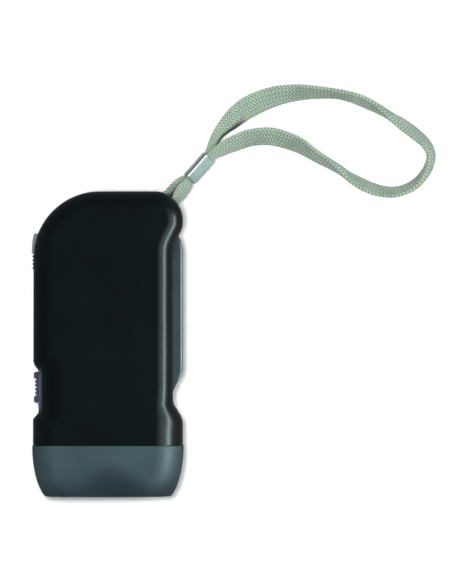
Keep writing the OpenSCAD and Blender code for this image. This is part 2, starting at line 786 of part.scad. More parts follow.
module squeeze_lever() {
  color([0.26, 0.33, 0.36, 0.85]) difference() {
    union() {
      difference() {
        translate([0, 0, lever_low]) linear_extrude(lever_h) lever_arm();
        translate([0, 0, lever_low + lever_wall])
          linear_extrude(lever_h - 2 * lever_wall) lever_hollow();
      }
      difference() {
        post(pivot, hub_r, lever_low, lever_top);
        post(pivot, hub_r - hub_skin, 0, body_t);
        block([pivot[0] - 10, pivot[1] - 10, 0], [pivot[0] + 1.2, pivot[1] + 10, body_t]);
        block([pivot[0], pivot[1] - 0.3, 0], [pivot[0] + 10, pivot[1] + 10, body_t]);
      }
      translate([0, 0, mid - web_h / 2]) linear_extrude(web_h) sector_shape();
      post(pivot, core_r, lever_low, lever_top);
      post(pivot, hub_r, lever_low, lever_low + lever_wall);
      post(pivot, hub_r, mid - web_h / 2, lever_top);
      block([catch_x, catch_y, catch_z], [lever_in_x + 1, lever_tip_y, catch_z + 1.6]);
      block([catch_x, catch_y, catch_z], [catch_x + 1.5, lever_tip_y, lever_top - 0.2]);
    }
    post(pivot, pin_r + run_fit, lever_low - eps, lever_top + eps);
  }
}

module lever_pin() {
  color([0.72, 0.73, 0.75]) post(pivot, pin_r, wall + 2, body_t - wall - 2);
}

module lever_spring() {
  wire_r = 0.35;
  coil_r = core_r + 0.2 + wire_r;
  low_z = lever_low + lever_wall + 0.3 + wire_r;
  turns = 2.25;
  pitch = (mid - web_h / 2 - 0.3 - wire_r - low_z) / turns;
  start = 260;
  end = start + turns * 360;
  wound = coil(pivot, coil_r, low_z, pitch, start, turns, 12);
  fixed_leg = wound[0] + spring_leg * [sin(start), -cos(start), 0];
  free_leg = wound[len(wound) - 1] + 5 * [-sin(end), cos(end), 0];
  color([0.75, 0.76, 0.78]) wire(concat([fixed_leg], wound, [free_leg]), wire_r);
}

module clutch_pinion() {
  arm_h = 1.4;
  arm_z = drive_z + drive_h - arm_h - 0.1;
  color([0.92, 0.9, 0.84]) difference() {
    union() {
      translate([drive_at[0], drive_at[1], mid - clutch_h / 2])
        linear_extrude(clutch_h)
          polygon(gear(sector_m, pinion_teeth, shift, sector_aim + 180 + half_pinion));
      post(drive_at, axle_r + 1.2, mid, drive_z + drive_h);
      post(drive_at, axle_r + 2.2, arm_z, drive_z + drive_h - 0.1);
      for (a = [0, 180]) translate([drive_at[0], drive_at[1], arm_z]) rotate(a)
        linear_extrude(arm_h)
          polygon([[0, 1.6], [3.2, 2.4], [4.6, 1.2], [5.6, -0.4], [5.2, 1.6], [3.6, 3.2], [0, 2.6]]);
    }
    post(drive_at, axle_r + run_fit, 0, body_t);
  }
}

module drive_gear() {
  recess_r = 6.4;
  saw = 12;
  color([0.92, 0.9, 0.84]) difference() {
    translate([drive_at[0], drive_at[1], drive_z]) linear_extrude(drive_h)
      polygon(gear(gear_m, drive_teeth, -shift, drive_aim));
    post(drive_at, axle_r + 1.2 + run_fit, drive_z - eps, drive_z + drive_h + eps);
    translate([drive_at[0], drive_at[1], drive_z + 1]) linear_extrude(drive_h)
      polygon([for (i = [0:saw - 1]) each [
        recess_r * dir(i * 360 / saw), (recess_r + 0.8) * dir((i + 0.9) * 360 / saw)]]);
  }
}

module drive_axle() {
  color([0.72, 0.73, 0.75]) post(drive_at, axle_r, wall + 4.2, plate_z + plate_t);
}

module idler_gear() {
  pinion_z = drive_z - 0.2;
  color([0.9, 0.9, 0.88]) difference() {
    union() {
      translate([idler_at[0], idler_at[1], idler_z]) linear_extrude(idler_h)
        polygon(gear(gear_m, idler_teeth, -shift, idler_aim));
      post(idler_at, axle_r + 1.2, idler_z, pinion_z + eps);
      translate([idler_at[0], idler_at[1], pinion_z]) linear_extrude(drive_h + 0.4)
        polygon(gear(gear_m, pinion_teeth, shift, drive_aim + 180 + half_pinion));
    }
    post(idler_at, axle_r + run_fit, 0, body_t);
  }
}

module idler_axle() {
  color([0.72, 0.73, 0.75]) post(idler_at, axle_r, wall + 4.2, plate_z + plate_t);
}

module rotor_pinion() {
  color([0.85, 0.7, 0.35]) difference() {
    translate([rotor_at[0], rotor_at[1], idler_z - 0.2]) linear_extrude(idler_h + 0.5)
      polygon(gear(gear_m, pinion_teeth, shift, idler_aim + 180 + half_pinion));
    post(rotor_at, shaft_r + seat_fit, 0, body_t);
  }
}

module flywheel() {
  color([0.6, 0.61, 0.63]) difference() {
    union() {
      post(rotor_at, flywheel_r, fly_z, fly_z + fly_h);
      post(rotor_at, shaft_r + 1, stator_top - 0.8, fly_z + eps);
    }
    post(rotor_at, shaft_r + seat_fit, 0, body_t);
    for (a = [0:60:300]) post(rotor_at + (flywheel_r - 3) * dir(a), 1.4, 0, body_t);
  }
}

module rotor_magnet() {
  color([0.22, 0.22, 0.24]) difference() {
    post(rotor_at, magnet_r, wall + 1.9, stator_top - 0.8);
    post(rotor_at, shaft_r + seat_fit, 0, body_t);
  }
}

module rotor_shaft() {
  color([0.78, 0.79, 0.8]) post(rotor_at, shaft_r, wall + 0.3, plate_z + plate_t - 0.3);
}

module rotor_bush() {
  color([0.8, 0.62, 0.3]) difference() {
    post(rotor_at, shaft_r + 1, wall, wall + 1.6);
    post(rotor_at, shaft_r + run_fit, wall + 0.2, body_t);
  }
}

module stator_cup() {
  sheet = 0.8;
  color([0.66, 0.67, 0.69]) difference() {
    post(rotor_at, stator_r, wall, stator_top);
    post(rotor_at, stator_r - sheet, wall + sheet, body_t);
    post(rotor_at, shaft_r + 1 + seat_fit, 0, body_t);
  }
}

module coil_bobbin() {
  low = wall + 1;
  high = stator_top - 0.4;
  out_r = stator_r - 1;
  color([0.93, 0.93, 0.9]) difference() {
    union() {
      post(rotor_at, magnet_r + 1.2, low, high);
      post(rotor_at, out_r, low, low + 0.8);
      post(rotor_at, out_r, high - 0.8, high);
    }
    post(rotor_at, magnet_r + free_gap, 0, body_t);
  }
}

module coil_winding() {
  color([0.72, 0.4, 0.2]) difference() {
    post(rotor_at, stator_r - 1.5, wall + 1.9, stator_top - 1.3);
    post(rotor_at, magnet_r + 1.3, 0, body_t);
  }
}

module gear_plate() {
  w = 5;
  boss = 3.1;
  top = plate_z + plate_t;
  color([0.16, 0.18, 0.2]) difference() {
    union() {
      bar(foot_at[0], idler_at, w, plate_z, top);
      bar(foot_at[0], rotor_at, w, plate_z, top);
      bar(foot_at[1], rotor_at, w, plate_z, top);
      bar(foot_at[2], drive_at, w, plate_z, top);
      bar(drive_at, idler_at, w, plate_z, top);
      bar(drive_at, rotor_at, w, plate_z, top);
      bar(idler_at, rotor_at, w, plate_z, top);
      for (p = concat(foot_at, [drive_at, idler_at, rotor_at])) post(p, boss, plate_z, top);
      post(drive_at, axle_r + 1.2, drive_z + drive_h + set_gap, top);
    }
    for (p = foot_at) post(p, small_screw_r + 0.1, 0, body_t);
    for (p = [drive_at, idler_at]) post(p, axle_r + seat_fit, 0, body_t);
    post(rotor_at, shaft_r + run_fit, 0, body_t);
  }
}

module plate_screws() {
  top = plate_z + plate_t;
  color([0.6, 0.6, 0.62]) for (p = foot_at) difference() {
    union() {
      post(p, small_screw_r, plate_z - 7, top + 0.2);
      post(p, 1.9, top, top + small_head_h);
    }
    for (a = [0, 90]) translate([p[0], p[1], top + small_head_h])
      rotate(a) cube([2.4, 0.5, 1], center = true);
  }
}

module circuit_board() {
  color([0.1, 0.35, 0.2]) difference() {
    block([board_x[0], board_y[0], board_z], [board_x[1], board_y[1], board_top]);
    post([board_x[1] - 4, board_y[0] + 4], 0.6, 0, body_t);
    post([board_x[1] - 7, board_y[0] + 4], 0.6, 0, body_t);
  }
}

module rectifier_diodes() {
  low = board_top;
  color([0.12, 0.12, 0.13]) for (i = [0:3]) {
    at = [board_x[1] - 9 + (i % 2) * 4.4, board_y[0] + 7 + floor(i / 2) * 3];
    block([at[0], at[1], low], [at[0] + 2.6, at[1] + 1.6, low + 1.2]);
  }
}

module coin_cell() {
  color([0.74, 0.75, 0.77]) {
    post(cell_at, cell_r, cell_z + 0.5, cell_z + cell_h);
    post(cell_at, cell_r - 1, cell_z, cell_z + cell_h);
  }
}

module cell_clip() {
  half = cell_r + 0.3;
  sheet = 0.4;
  under = cell_z - 0.2 - sheet;
  color([0.78, 0.76, 0.68]) {
    block([cell_at[0] - half - sheet, cell_at[1] - 2.5, under],
      [cell_at[0] + half + sheet, cell_at[1] + 2.5, under + sheet]);
    for (s = [-1, 1])
      block([cell_at[0] + s * (half + sheet / 2) - sheet / 2, cell_at[1] - 2.5, under],
        [cell_at[0] + s * (half + sheet / 2) + sheet / 2, cell_at[1] + 2.5, board_z]);
  }
}

module switch_knob() {
  low = notch_x - 0.15;
  high = thumb_x + 0.1;
  base = low - 0.75;
  color([0.34, 0.38, 0.4]) difference() {
    union() {
      block([base, knob_y - knob_l / 2, mid - knob_h / 2],
        [low, knob_y + knob_l / 2, mid + knob_h / 2]);
      for (s = [-1, 1]) translate([0, knob_y + s * (knob_l / 2 - 1), mid - knob_h / 2])
        linear_extrude(knob_h)
          polygon([[base + 0.1, -1], [base + 0.1, 1], [high, 0.5 + s * 0.4], [high, -0.5 + s * 0.4]]);
      for (i = [0:3]) translate([base, knob_y + (i - 1.5) * 1.7, mid - knob_h / 2])
        cylinder(r = 0.45, h = knob_h);
      block([low - 0.2, knob_y - 2.4, mid - 2.2], [notch_x + wall - 0.3, knob_y + 2.4, mid + 2.2]);
    }
    block([notch_x + 0.2, knob_y - slider_w / 2 - 0.1, mid - slider_h / 2 - 0.1],
      [notch_x + wall + eps, knob_y + slider_w / 2 + 0.1, mid + slider_h / 2 + 0.1]);
  }
}

module switch_slider() {
  color([0.1, 0.1, 0.11])
    block([notch_x + 0.4, knob_y - slider_w / 2, mid - slider_h / 2],
      [switch_in - 0.1, knob_y + slider_w / 2, mid + slider_h / 2]);
}

module switch_body() {
  at_y = knob_y - knob_travel / 2;
  color([0.7, 0.71, 0.72]) {
    block([switch_in, at_y - switch_l / 2, board_top],
      [switch_in + switch_w, at_y + switch_l / 2, mid + 2]);
  }
}

module release_button() {
  color([0.36, 0.41, 0.43]) {
    intersection() {
      difference() {
        translate(button_shift) body_prism(0, mid - button_h / 2, mid + button_h / 2);
        body_prism(flange_in, 0, body_t);
      }
      block([thumb_x - 2, button_y, 0], [thumb_x + 8, button_y + button_l, body_t]);
    }
    intersection() {
      difference() {
        body_prism(flange_out, mid - button_h / 2 - flange_lap, mid + button_h / 2 + flange_lap);
        body_prism(flange_in, 0, body_t);
      }
      block([thumb_x, button_y - flange_lap, 0],
        [thumb_x + 8, button_y + button_l + flange_lap, body_t]);
    }
  }
}

module release_latch() {
  top = latch_z + latch_h;
  heel = [heel_x + 1, button_mid_y];
  color([0.85, 0.84, 0.8]) difference() {
    union() {
      bar(latch_at, latch_tip, 3, latch_z, top);
      bar(latch_at, heel, heel_w - 0.6, latch_z, top);
      block([heel_x, button_mid_y - heel_w / 2, mid - 2],
        [heel_x + 2, button_mid_y + heel_w / 2, top]);
      post(latch_tip, 1.9, latch_z, top);
      post(latch_tip, 1.2, lever_top + set_gap, latch_z + eps);
      post(latch_at, latch_pin_r + 1.4, latch_z, top);
    }
    post(latch_at, latch_pin_r + run_fit, 0, body_t);
  }
}

module latch_pin() {
  color([0.72, 0.73, 0.75]) {
    post(latch_at, latch_pin_r, latch_z - 0.8, body_t - wall - 0.2);
    post(latch_at, latch_pin_r + 0.9, latch_z - 0.8, latch_z - set_gap);
  }
}

module latch_spring() {
  wire_r = 0.2;
  coil_r = latch_pin_r + 1.2 + 0.2 + wire_r;
  low_z = latch_z + latch_h + 0.2 + wire_r;
  wound = coil(latch_at, coil_r, low_z, 0.55, 210, 2);
  top = wound[len(wound) - 1];
  color([0.75, 0.76, 0.78])
    wire(concat(wound, [top + 3 * [-sin(210), cos(210), 0.02]]), wire_r);
}

module strap_pin() {
  color([0.72, 0.73, 0.75])
    post(strap_pin_at, strap_pin_r, mid - strap_w / 2 - 3.8, mid + strap_w / 2 + 3.8);
}

module led_leads() {
  color([0.75, 0.12, 0.1]) for (s = [-1, 1])
    wire([
      [board_x[1] - 5.5 + s * 1.5, board_y[0] + 4, board_top + 0.6],
      [board_x[1] - 5.5 + s * 1.5, board_y[0] + 1, board_top + 1.6],
      [-3 + s, joint_y + 5, mid - 1],
      [s, joint_y + 2, mid],
      [s, led_board_y + 0.1, mid]
    ], 0.5);
}

module coil_leads() {
  color([0.72, 0.4, 0.2]) for (s = [-1, 1])
    wire([
      rotor_at_z(stator_r + 0.45, 226 + s * 5, stator_top - 3),
      rotor_at_z(stator_r + 4.5, 224 + s * 6, stator_top - 3.4),
      [drive_at[0] - 6.5 + s * 0.8, drive_at[1] - 8, board_z - 3],
      [drive_at[0] - 6.5 + s * 0.8, board_y[1] + 2.4, board_z - 1],
      [drive_at[0] - 6.5 + s * 0.8, board_y[1] + 1.4, board_top + 0.3],
      [drive_at[0] - 6.5 + s * 0.8, board_y[1] - 0.4, board_top + 0.5],
      [drive_at[0] - 6.5 + s * 0.8, board_y[1] - 3, board_top + 0.45]
    ], 0.35);
}

// Point beside the rotor at a radius, angle and height
function rotor_at_z(r, a, z) = [rotor_at[0] + r * cos(a), rotor_at[1] + r * sin(a), z];

module wrist_strap() {
  rows = smooth(strap_route);
  color([0.66, 0.72, 0.66])
    skin([for (i = [0:len(rows) - 1])
      let (share = rows[i][4])
      swept_ring(rows, i, strap_section(strap_w * share, strap_t * (2 + share) / 3), rows[i][3])]);
}

module strap_crimp() {
  color([0.8, 0.82, 0.83])
    translate(crimp_at) rotate(crimp_aim) rotate([0, -crimp_dip, 0]) rotate([-crimp_roll, 0, 0])
      difference() {
        cube([crimp_l, crimp_in_t + 2 * crimp_t, crimp_in_w + 2 * crimp_t], center = true);
        cube([crimp_l + 1, crimp_in_t, crimp_in_w], center = true);
      }
}

lower_shell();
upper_shell();
housing_screws();
head_bezel();
front_lens();
reflector();
leds();
led_board();
squeeze_lever();
lever_pin();
lever_spring();
clutch_pinion();
drive_gear();
drive_axle();
idler_gear();
idler_axle();
rotor_pinion();
flywheel();
rotor_magnet();
rotor_shaft();
rotor_bush();
stator_cup();
coil_bobbin();
coil_winding();
gear_plate();
plate_screws();
circuit_board();
rectifier_diodes();
coin_cell();
cell_clip();
switch_knob();
switch_slider();
switch_body();
release_button();
release_latch();
latch_pin();
latch_spring();
strap_pin();
led_leads();
coil_leads();
wrist_strap();
strap_crimp();
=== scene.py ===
"""Looks of a squeeze dynamo torch with a wrist strap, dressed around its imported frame.

Sizes are in millimetres in the part's own frame and become metres when a mesh is made.
+Z points up through the two side shells, the beam leaves along -Y and +X is the lever side.
"""

from __future__ import annotations

import logging
import math
from dataclasses import dataclass, field
from enum import Enum
from typing import Callable, Mapping, Sequence

import bmesh
import bpy
import numpy as np
from mathutils import Matrix, Vector

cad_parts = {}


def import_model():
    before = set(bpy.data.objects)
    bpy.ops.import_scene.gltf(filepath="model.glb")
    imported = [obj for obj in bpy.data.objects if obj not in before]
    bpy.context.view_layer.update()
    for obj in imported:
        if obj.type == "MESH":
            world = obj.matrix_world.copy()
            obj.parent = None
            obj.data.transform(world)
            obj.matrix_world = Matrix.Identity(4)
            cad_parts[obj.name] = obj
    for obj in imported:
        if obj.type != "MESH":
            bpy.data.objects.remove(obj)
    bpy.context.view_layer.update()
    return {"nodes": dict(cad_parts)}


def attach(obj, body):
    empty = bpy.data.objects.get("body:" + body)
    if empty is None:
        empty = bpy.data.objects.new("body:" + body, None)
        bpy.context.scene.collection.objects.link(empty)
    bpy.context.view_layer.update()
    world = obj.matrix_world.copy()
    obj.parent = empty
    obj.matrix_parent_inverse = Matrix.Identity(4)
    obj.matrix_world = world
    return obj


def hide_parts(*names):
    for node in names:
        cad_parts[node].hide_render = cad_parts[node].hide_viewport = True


MM = 0.001
LOG = logging.getLogger("torch")

Pair = tuple[float, float]
Triple = tuple[float, float, float]
Colour = tuple[float, float, float, float]

WHITE: Colour = (1.0, 1.0, 1.0, 1.0)
BLACK: Colour = (0.0, 0.0, 0.0, 1.0)
COOL_SHINE: Colour = (0.8, 0.97, 1.0, 1.0)


class Body(Enum):
    """Moving bodies of the torch, by their names in the frame."""

    HOUSING = "housing"
    LEVER = "lever"
    SWITCH = "light_switch"
    BUTTON = "button"


class Half(Enum):
    """The two side shells, by the sign of their height above the parting plane."""

    UPPER = 1
    LOWER = -1


class Layout(Enum):
    """How a repeater sets out its copies."""

    ROW = "row"
    POINTS = "points"


class Reach(Enum):
    """Which surfaces a lamp reaches."""

    MATT = "matt"
    GLOSSY = "glossy"


def srgb(red: float, green: float, blue: float) -> Colour:
    """Linear colour of a screen colour.

    Args:
        red, green, blue: Screen values from 0 to 255.

    Returns:
        Linear red, green, blue and an alpha of 1.
    """
    linear = [
        (v / 255 / 12.92) if v <= 10 else ((v / 255 + 0.055) / 1.055) ** 2.4
        for v in (red, green, blue)
    ]
    return (linear[0], linear[1], linear[2], 1.0)


# Shader maths


class Value:
    """A number socket of a material, for use in Python expressions."""

    def __init__(self, paint: Paint, socket: bpy.types.NodeSocket) -> None:
        """Keep the socket and the paint that it belongs to."""
        self.paint = paint
        self.socket = socket

    def math(self, operation: str, first: object, second: object = 0.0) -> Value:
        """Add a Math node.

        Args:
            operation: Blender's name of the operation.
            first, second: Numbers or values.

        Returns:
            The node's result.
        """
        node = self.paint.node("ShaderNodeMath", {"operation": operation}, {0: first, 1: second})
        return Value(self.paint, node.outputs[0])

    def __add__(self, other: object) -> Value:
        """Sum."""
        return self.math("ADD", self, other)

    def __radd__(self, other: object) -> Value:
        """Sum with a number first."""
        return self.math("ADD", other, self)

    def __sub__(self, other: object) -> Value:
        """Difference."""
        return self.math("SUBTRACT", self, other)

    def __rsub__(self, other: object) -> Value:
        """Difference with a number first."""
        return self.math("SUBTRACT", other, self)

    def __mul__(self, other: object) -> Value:
        """Product."""
        return self.math("MULTIPLY", self, other)

    def __rmul__(self, other: object) -> Value:
        """Product with a number first."""
        return self.math("MULTIPLY", other, self)

    def __truediv__(self, other: object) -> Value:
        """Quotient."""
        return self.math("DIVIDE", self, other)

    def __pow__(self, other: object) -> Value:
        """Power."""
        return self.math("POWER", self, other)

    def size(self) -> Value:
        """Value without its sign."""
        return self.math("ABSOLUTE", self)

    def share(self) -> Value:
        """Part after the decimal point."""
        return self.math("FRACT", self)

    def wave(self) -> Value:
        """Cosine of the value, in radians."""
        return self.math("COSINE", self)


class NodeMaker:
    """Adds nodes to one node tree, each with its settings, values and links."""

    def __init__(self, tree: bpy.types.NodeTree) -> None:
        """Keep the tree that gets the nodes."""
        self.tree = tree

    def node(
        self,
        kind: str,
        settings: Mapping[str, object] | None = None,
        sockets: Mapping[str | int, object] | None = None,
    ) -> bpy.types.Node:
        """Add any node.

        Args:
            kind: Blender's name of the node type.
            settings: Attributes that are set first; "stops" are a ramp's places and colours.
            sockets: Values or links for the inputs, by name or index.

        Returns:
            The new node.
        """
        node = self.tree.nodes.new(kind)
        for key, value in (settings or {}).items():
            if key == "stops":
                elements = node.color_ramp.elements
                while len(elements) < len(value):
                    elements.new(1.0)
                for element, (place, colour) in zip(elements, value):
                    element.position = place
                    element.color = colour
            else:
                setattr(node, key, value)
        self.wire(node, sockets or {})
        return node

    def wire(self, node: bpy.types.Node, sockets: Mapping[str | int, object]) -> None:
        """Set or link a node's inputs.

        Args:
            node: The node to wire.
            sockets: Values or links for the inputs, by name or index.
        """
        for key, value in sockets.items():
            source = value.socket if isinstance(value, Value) else value
            if isinstance(source, bpy.types.NodeSocket):
                self.tree.links.new(source, node.inputs[key])
            else:
                node.inputs[key].default_value = source


class Paint(NodeMaker):
    """Adds nodes to one material and wires its shader."""

    def __init__(self, name: str) -> None:
        """Start a material with a plain shader."""
        self.material = bpy.data.materials.new(name)
        self.material.use_nodes = True
        super().__init__(self.material.node_tree)
        self.shader = self.tree.nodes["Principled BSDF"]

    def place(self) -> bpy.types.NodeSocket:
        """Place on the object, in metres of the part's frame."""
        return self.node("ShaderNodeTexCoord").outputs["Object"]

    def axes(self, vector: bpy.types.NodeSocket, scale: float = 1.0) -> list[Value]:
        """Parts of a vector as values.

        Args:
            vector: The vector's socket.
            scale: Factor on each part.

        Returns:
            The three parts.
        """
        node = self.node("ShaderNodeSeparateXYZ", None, {0: vector})
        return [Value(self, socket) * scale for socket in node.outputs]

    def noise(
        self, scale: float, detail: float = 2.0, stretch: Triple = (1, 1, 1)
    ) -> Value:
        """Soft noise over the object.

        Args:
            scale: Waves in a metre.
            detail: Finer layers.
            stretch: Factor on the place along each axis.

        Returns:
            Values around 0.5.
        """
        mapping = self.node("ShaderNodeMapping", None, {"Vector": self.place(), "Scale": stretch})
        noise = self.node(
            "ShaderNodeTexNoise",
            None,
            {"Vector": mapping.outputs[0], "Scale": scale, "Detail": detail},
        )
        return Value(self, noise.outputs[0])

    def smooth(self, value: Value, low: float, high: float) -> Value:
        """Soft step of a value.

        Args:
            value: What is measured.
            low, high: Where the step starts and ends.

        Returns:
            Values from 0 to 1.
        """
        node = self.node(
            "ShaderNodeMapRange",
            {"interpolation_type": "SMOOTHSTEP"},
            {"Value": value, "From Min": low, "From Max": high},
        )
        return Value(self, node.outputs[0])

    def mix(self, factor: Value, first: object, second: object) -> bpy.types.NodeSocket:
        """Colour between two others.

        Args:
            factor: Share of the second colour.
            first, second: Colours or colour sockets.

        Returns:
            The mixed colour's socket.
        """
        node = self.node(
            "ShaderNodeMix", {"data_type": "RGBA"}, {0: factor, 6: first, 7: second}
        )
        return node.outputs[2]

    def bump(self, height: Value, depth: float, strength: float = 1.0) -> bpy.types.NodeSocket:
        """Normal of a fine relief.

        Args:
            height: Height from 0 to 1.
            depth: Height of 1, in metres.
            strength: Share of the relief that shows.

        Returns:
            The normal's socket.
        """
        node = self.node(
            "ShaderNodeBump", None, {"Strength": strength, "Distance": depth, "Height": height}
        )
        return node.outputs[0]

    def shade(self, sockets: Mapping[str, object]) -> bpy.types.Material:
        """Wire the shader.

        Args:
            sockets: Values or links for the shader's inputs.

        Returns:
            The finished material.
        """
        self.wire(self.shader, sockets)
        return self.material


# Finishes


@dataclass(frozen=True)
class MouldedPlastic:
    """Plastic with a fine moulded grain, faint handling marks and, where asked, a painted sheen on one
    patch.
    """

    name: str
    colour: Colour
    worn: Colour
    rough: float
    grain: float = 0.000002
    shine: float = 0.5
    coat: float = 0.0
    coat_rough: float = 0.27
    # Colour of a painted sheen, and the box in millimetres where it lies
    painted_sheen: Colour | None = None
    sheen_x: Pair = (-21.9, -23.2)
    sheen_y: Triple = (-15.8, 4.5, 8.5)
    sheen_z: Pair = (29.0, 33.0)
    clouds: float = 60.0
    grains: float = 2600.0
    worn_at: Pair = (0.35, 0.75)

    def make(self) -> bpy.types.Material:
        """Material of the plastic."""
        paint = Paint(self.name)
        cloud = paint.noise(self.clouds, 3)
        grain = paint.noise(self.grains)
        base = paint.mix(paint.smooth(cloud, *self.worn_at), self.colour, self.worn)
        # Painted sheen: a paler blue-grey patch that stands for light caught on the switch notch's upper
        # edge
        if self.painted_sheen:
            x, y, z = paint.axes(paint.place(), 1 / MM)
            middle, near, far = self.sheen_y
            sheen_mask = paint.smooth(x, *self.sheen_x) * (1 - paint.smooth((y - middle).size(), near, far))
            sheen_mask = sheen_mask * paint.smooth(z, *self.sheen_z)
            base = paint.mix(sheen_mask * (0.8 + 0.4 * cloud), base, self.painted_sheen)
        return paint.shade({
            "Base Color": base,
            "Roughness": self.rough + 0.1 * (cloud - 0.5) + 0.06 * (grain - 0.5),
            "Normal": paint.bump(grain, self.grain),
            "Specular IOR Level": self.shine,
            "Specular Tint": COOL_SHINE,
            "Coat Weight": self.coat,
            "Coat Roughness": self.coat_rough,
        })


@dataclass(frozen=True)
class SmokePlastic:
    """Half-clear smoke-grey plastic with painted shade: a dark spot, on the head where the lamp holder
    stands behind it, and a darkening towards one end.
    """

    name: str
    colour: Colour
    painted_shade: Colour
    pale: Colour
    painted_shade_at: Pair
    painted_shade_r: Pair
    shade_fade: Pair
    rough: float = 0.48
    # Colour of a painted highlight along the rim, or None for none
    edge: Colour | None = None
    rim_x: Pair = (24.2, 25.1)
    rim_z: Pair = (8.7, 9.5)
    mid_z: float = 19.0
    clouds: float = 70.0
    grains: float = 900.0
    relief: float = 0.000004
    pale_at: Pair = (0.3, 0.8)

    def make(self) -> bpy.types.Material:
        """Material of the smoky plastic, with a painted highlight along its rim where an edge colour is
        given.
        """
        paint = Paint(self.name)
        x, y, z = paint.axes(paint.place(), 1 / MM)
        cloud = paint.noise(self.clouds)
        # Painted shade: a dark oval spot, and a darkening along Y
        reach = (
            ((x - self.painted_shade_at[0]) / self.painted_shade_r[0]) ** 2
            + ((y - self.painted_shade_at[1]) / self.painted_shade_r[1]) ** 2
        )
        shade_spot = 1 - paint.smooth(reach + 0.5 * (cloud - 0.5), 0.0, 1.0)
        shade_fade = paint.smooth(y + 2 * (cloud - 0.5), *self.shade_fade)
        pale = paint.mix(paint.smooth(cloud, *self.pale_at), self.colour, self.pale)
        colour = paint.mix(1 - (1 - 0.85 * shade_spot) * (1 - 0.6 * shade_fade), pale, self.painted_shade)
        # Painted highlight: a pale band at the top and bottom of the outer rim
        if self.edge is not None:
            height = paint.smooth((z - self.mid_z) ** 2, self.rim_z[0] ** 2, self.rim_z[1] ** 2)
            colour = paint.mix(paint.smooth(x, *self.rim_x) * height, colour, self.edge)
        return paint.shade({
            "Base Color": colour,
            "Roughness": self.rough + 0.08 * (cloud - 0.5),
            "Normal": paint.bump(paint.noise(self.grains), self.relief),
            "Specular Tint": COOL_SHINE,
        })


@dataclass(frozen=True)
class WorkedMetal:
    """Metal with the fine marks of how it was drawn, turned or rolled."""

    name: str
    colour: Colour
    shadow: Colour
    rough: float
    stretch: Triple = (1, 1, 1)
    marks: float = 2400
    metal: float = 1.0
    clouds: float = 160.0
    relief: float = 0.000002
    shadow_at: Pair = (0.3, 0.8)

    def make(self) -> bpy.types.Material:
        """Material of the metal."""
        paint = Paint(self.name)
        marks = paint.noise(self.marks, 3, self.stretch)
        cloud = paint.noise(self.clouds)
        shadow = paint.smooth(cloud, *self.shadow_at)
        return paint.shade({
            "Base Color": paint.mix(shadow, self.colour, self.shadow),
            "Metallic": self.metal,
            "Roughness": self.rough + 0.1 * (marks - 0.5) + 0.06 * (cloud - 0.5),
            "Normal": paint.bump(marks, self.relief),
        })


@dataclass(frozen=True)
class CrimpSeat:
    """Where the crimp sits, in millimetres, and how it is turned, in degrees."""

    at: Triple = (30.75, 59.8, 17.3)
    aim: float = 48.6
    dip: float = -8.0
    roll: float = 53.0
    half: Pair = (1.4, 2.3)
    length: float = 10.0

    def turn(self) -> Matrix:
        """Turn from the crimp's own axes to the torch's."""
        return (
            Matrix.Rotation(math.radians(self.aim), 4, "Z")
            @ Matrix.Rotation(math.radians(-self.dip), 4, "Y")
            @ Matrix.Rotation(math.radians(-self.roll), 4, "X")
        )

    def axes(self, paint: Paint) -> list[Value]:
        """Place on the surface along the crimp's own three axes.

        Args:
            paint: The material.

        Returns:
            Millimetres along the crimp, across it and up its taller side.
        """
        place = paint.axes(paint.place(), 1 / MM)
        x, y, z = (value - start for value, start in zip(place, self.at))
        turn = self.turn()
        return [x * a + y * b + z * c for a, b, c in (turn.col[i][:3] for i in range(3))]


@dataclass(frozen=True)
class PlatedSleeve:
    """Plated sheet folded around the webbing, with a painted highlight on its ridge, painted shade beside
    the seam that grades to a painted lit tone across its top, and painted shade towards one end.
    """

    name: str
    # face is the sleeve's own colour; end and seam are painted shade, top a painted lit tone and ridge a
    # painted highlight
    face: Colour
    end: Colour
    top: Colour
    seam: Colour
    ridge: Colour
    seat: CrimpSeat
    marks: float = 1800.0
    relief: float = 0.000002
    end_shade_reach: Pair = (-4.6, -2.0)
    rim: float = 0.3
    brink: float = 0.12
    ridge_highlight_reach: Pair = (0.06, 0.2)

    def make(self) -> bpy.types.Material:
        """Material of the sleeve, laid out on its own axes."""
        paint = Paint(self.name)
        along, side, height = self.seat.axes(paint)
        half_y, half_z = self.seat.half
        marks = paint.noise(self.marks, 3, (3, 3, 1))
        # Painted shade towards the end that faces the torch
        end_shade = 1 - paint.smooth(along + 2 * (marks - 0.5), *self.end_shade_reach)
        face = paint.mix(0.5 * end_shade, self.face, self.end)
        # Painted shade beside the seam, grading to a painted lit tone across the top face
        across = paint.smooth(side, self.rim - half_y, half_y - self.rim)
        top = paint.mix(across, self.seam, self.top)
        on_top = paint.smooth(height, half_z - self.rim, half_z - self.brink)
        # Painted highlight along the ridge beside the seam
        corner = (side + half_y) ** 2 + (height - half_z) ** 2
        ridge = 1 - paint.smooth(corner, *self.ridge_highlight_reach)
        return paint.shade({
            "Base Color": paint.mix(ridge, paint.mix(on_top, face, top), self.ridge),
            "Metallic": 0.35,
            "Roughness": 0.26 + 0.14 * (marks - 0.5),
            "Normal": paint.bump(marks, self.relief),
        })


@dataclass(frozen=True)
class ClearPlastic:
    """Clear plastic that light passes through."""

    name: str
    colour: Colour
    rough: float
    clear: float = 1.0
    clouds: float = 400.0
    index: float = 1.49

    def make(self) -> bpy.types.Material:
        """Material of the clear plastic."""
        paint = Paint(self.name)
        cloud = paint.noise(self.clouds)
        return paint.shade({
            "Base Color": self.colour,
            "Roughness": self.rough + 0.03 * (cloud - 0.5),
            "Transmission Weight": self.clear,
            "IOR": self.index,
        })


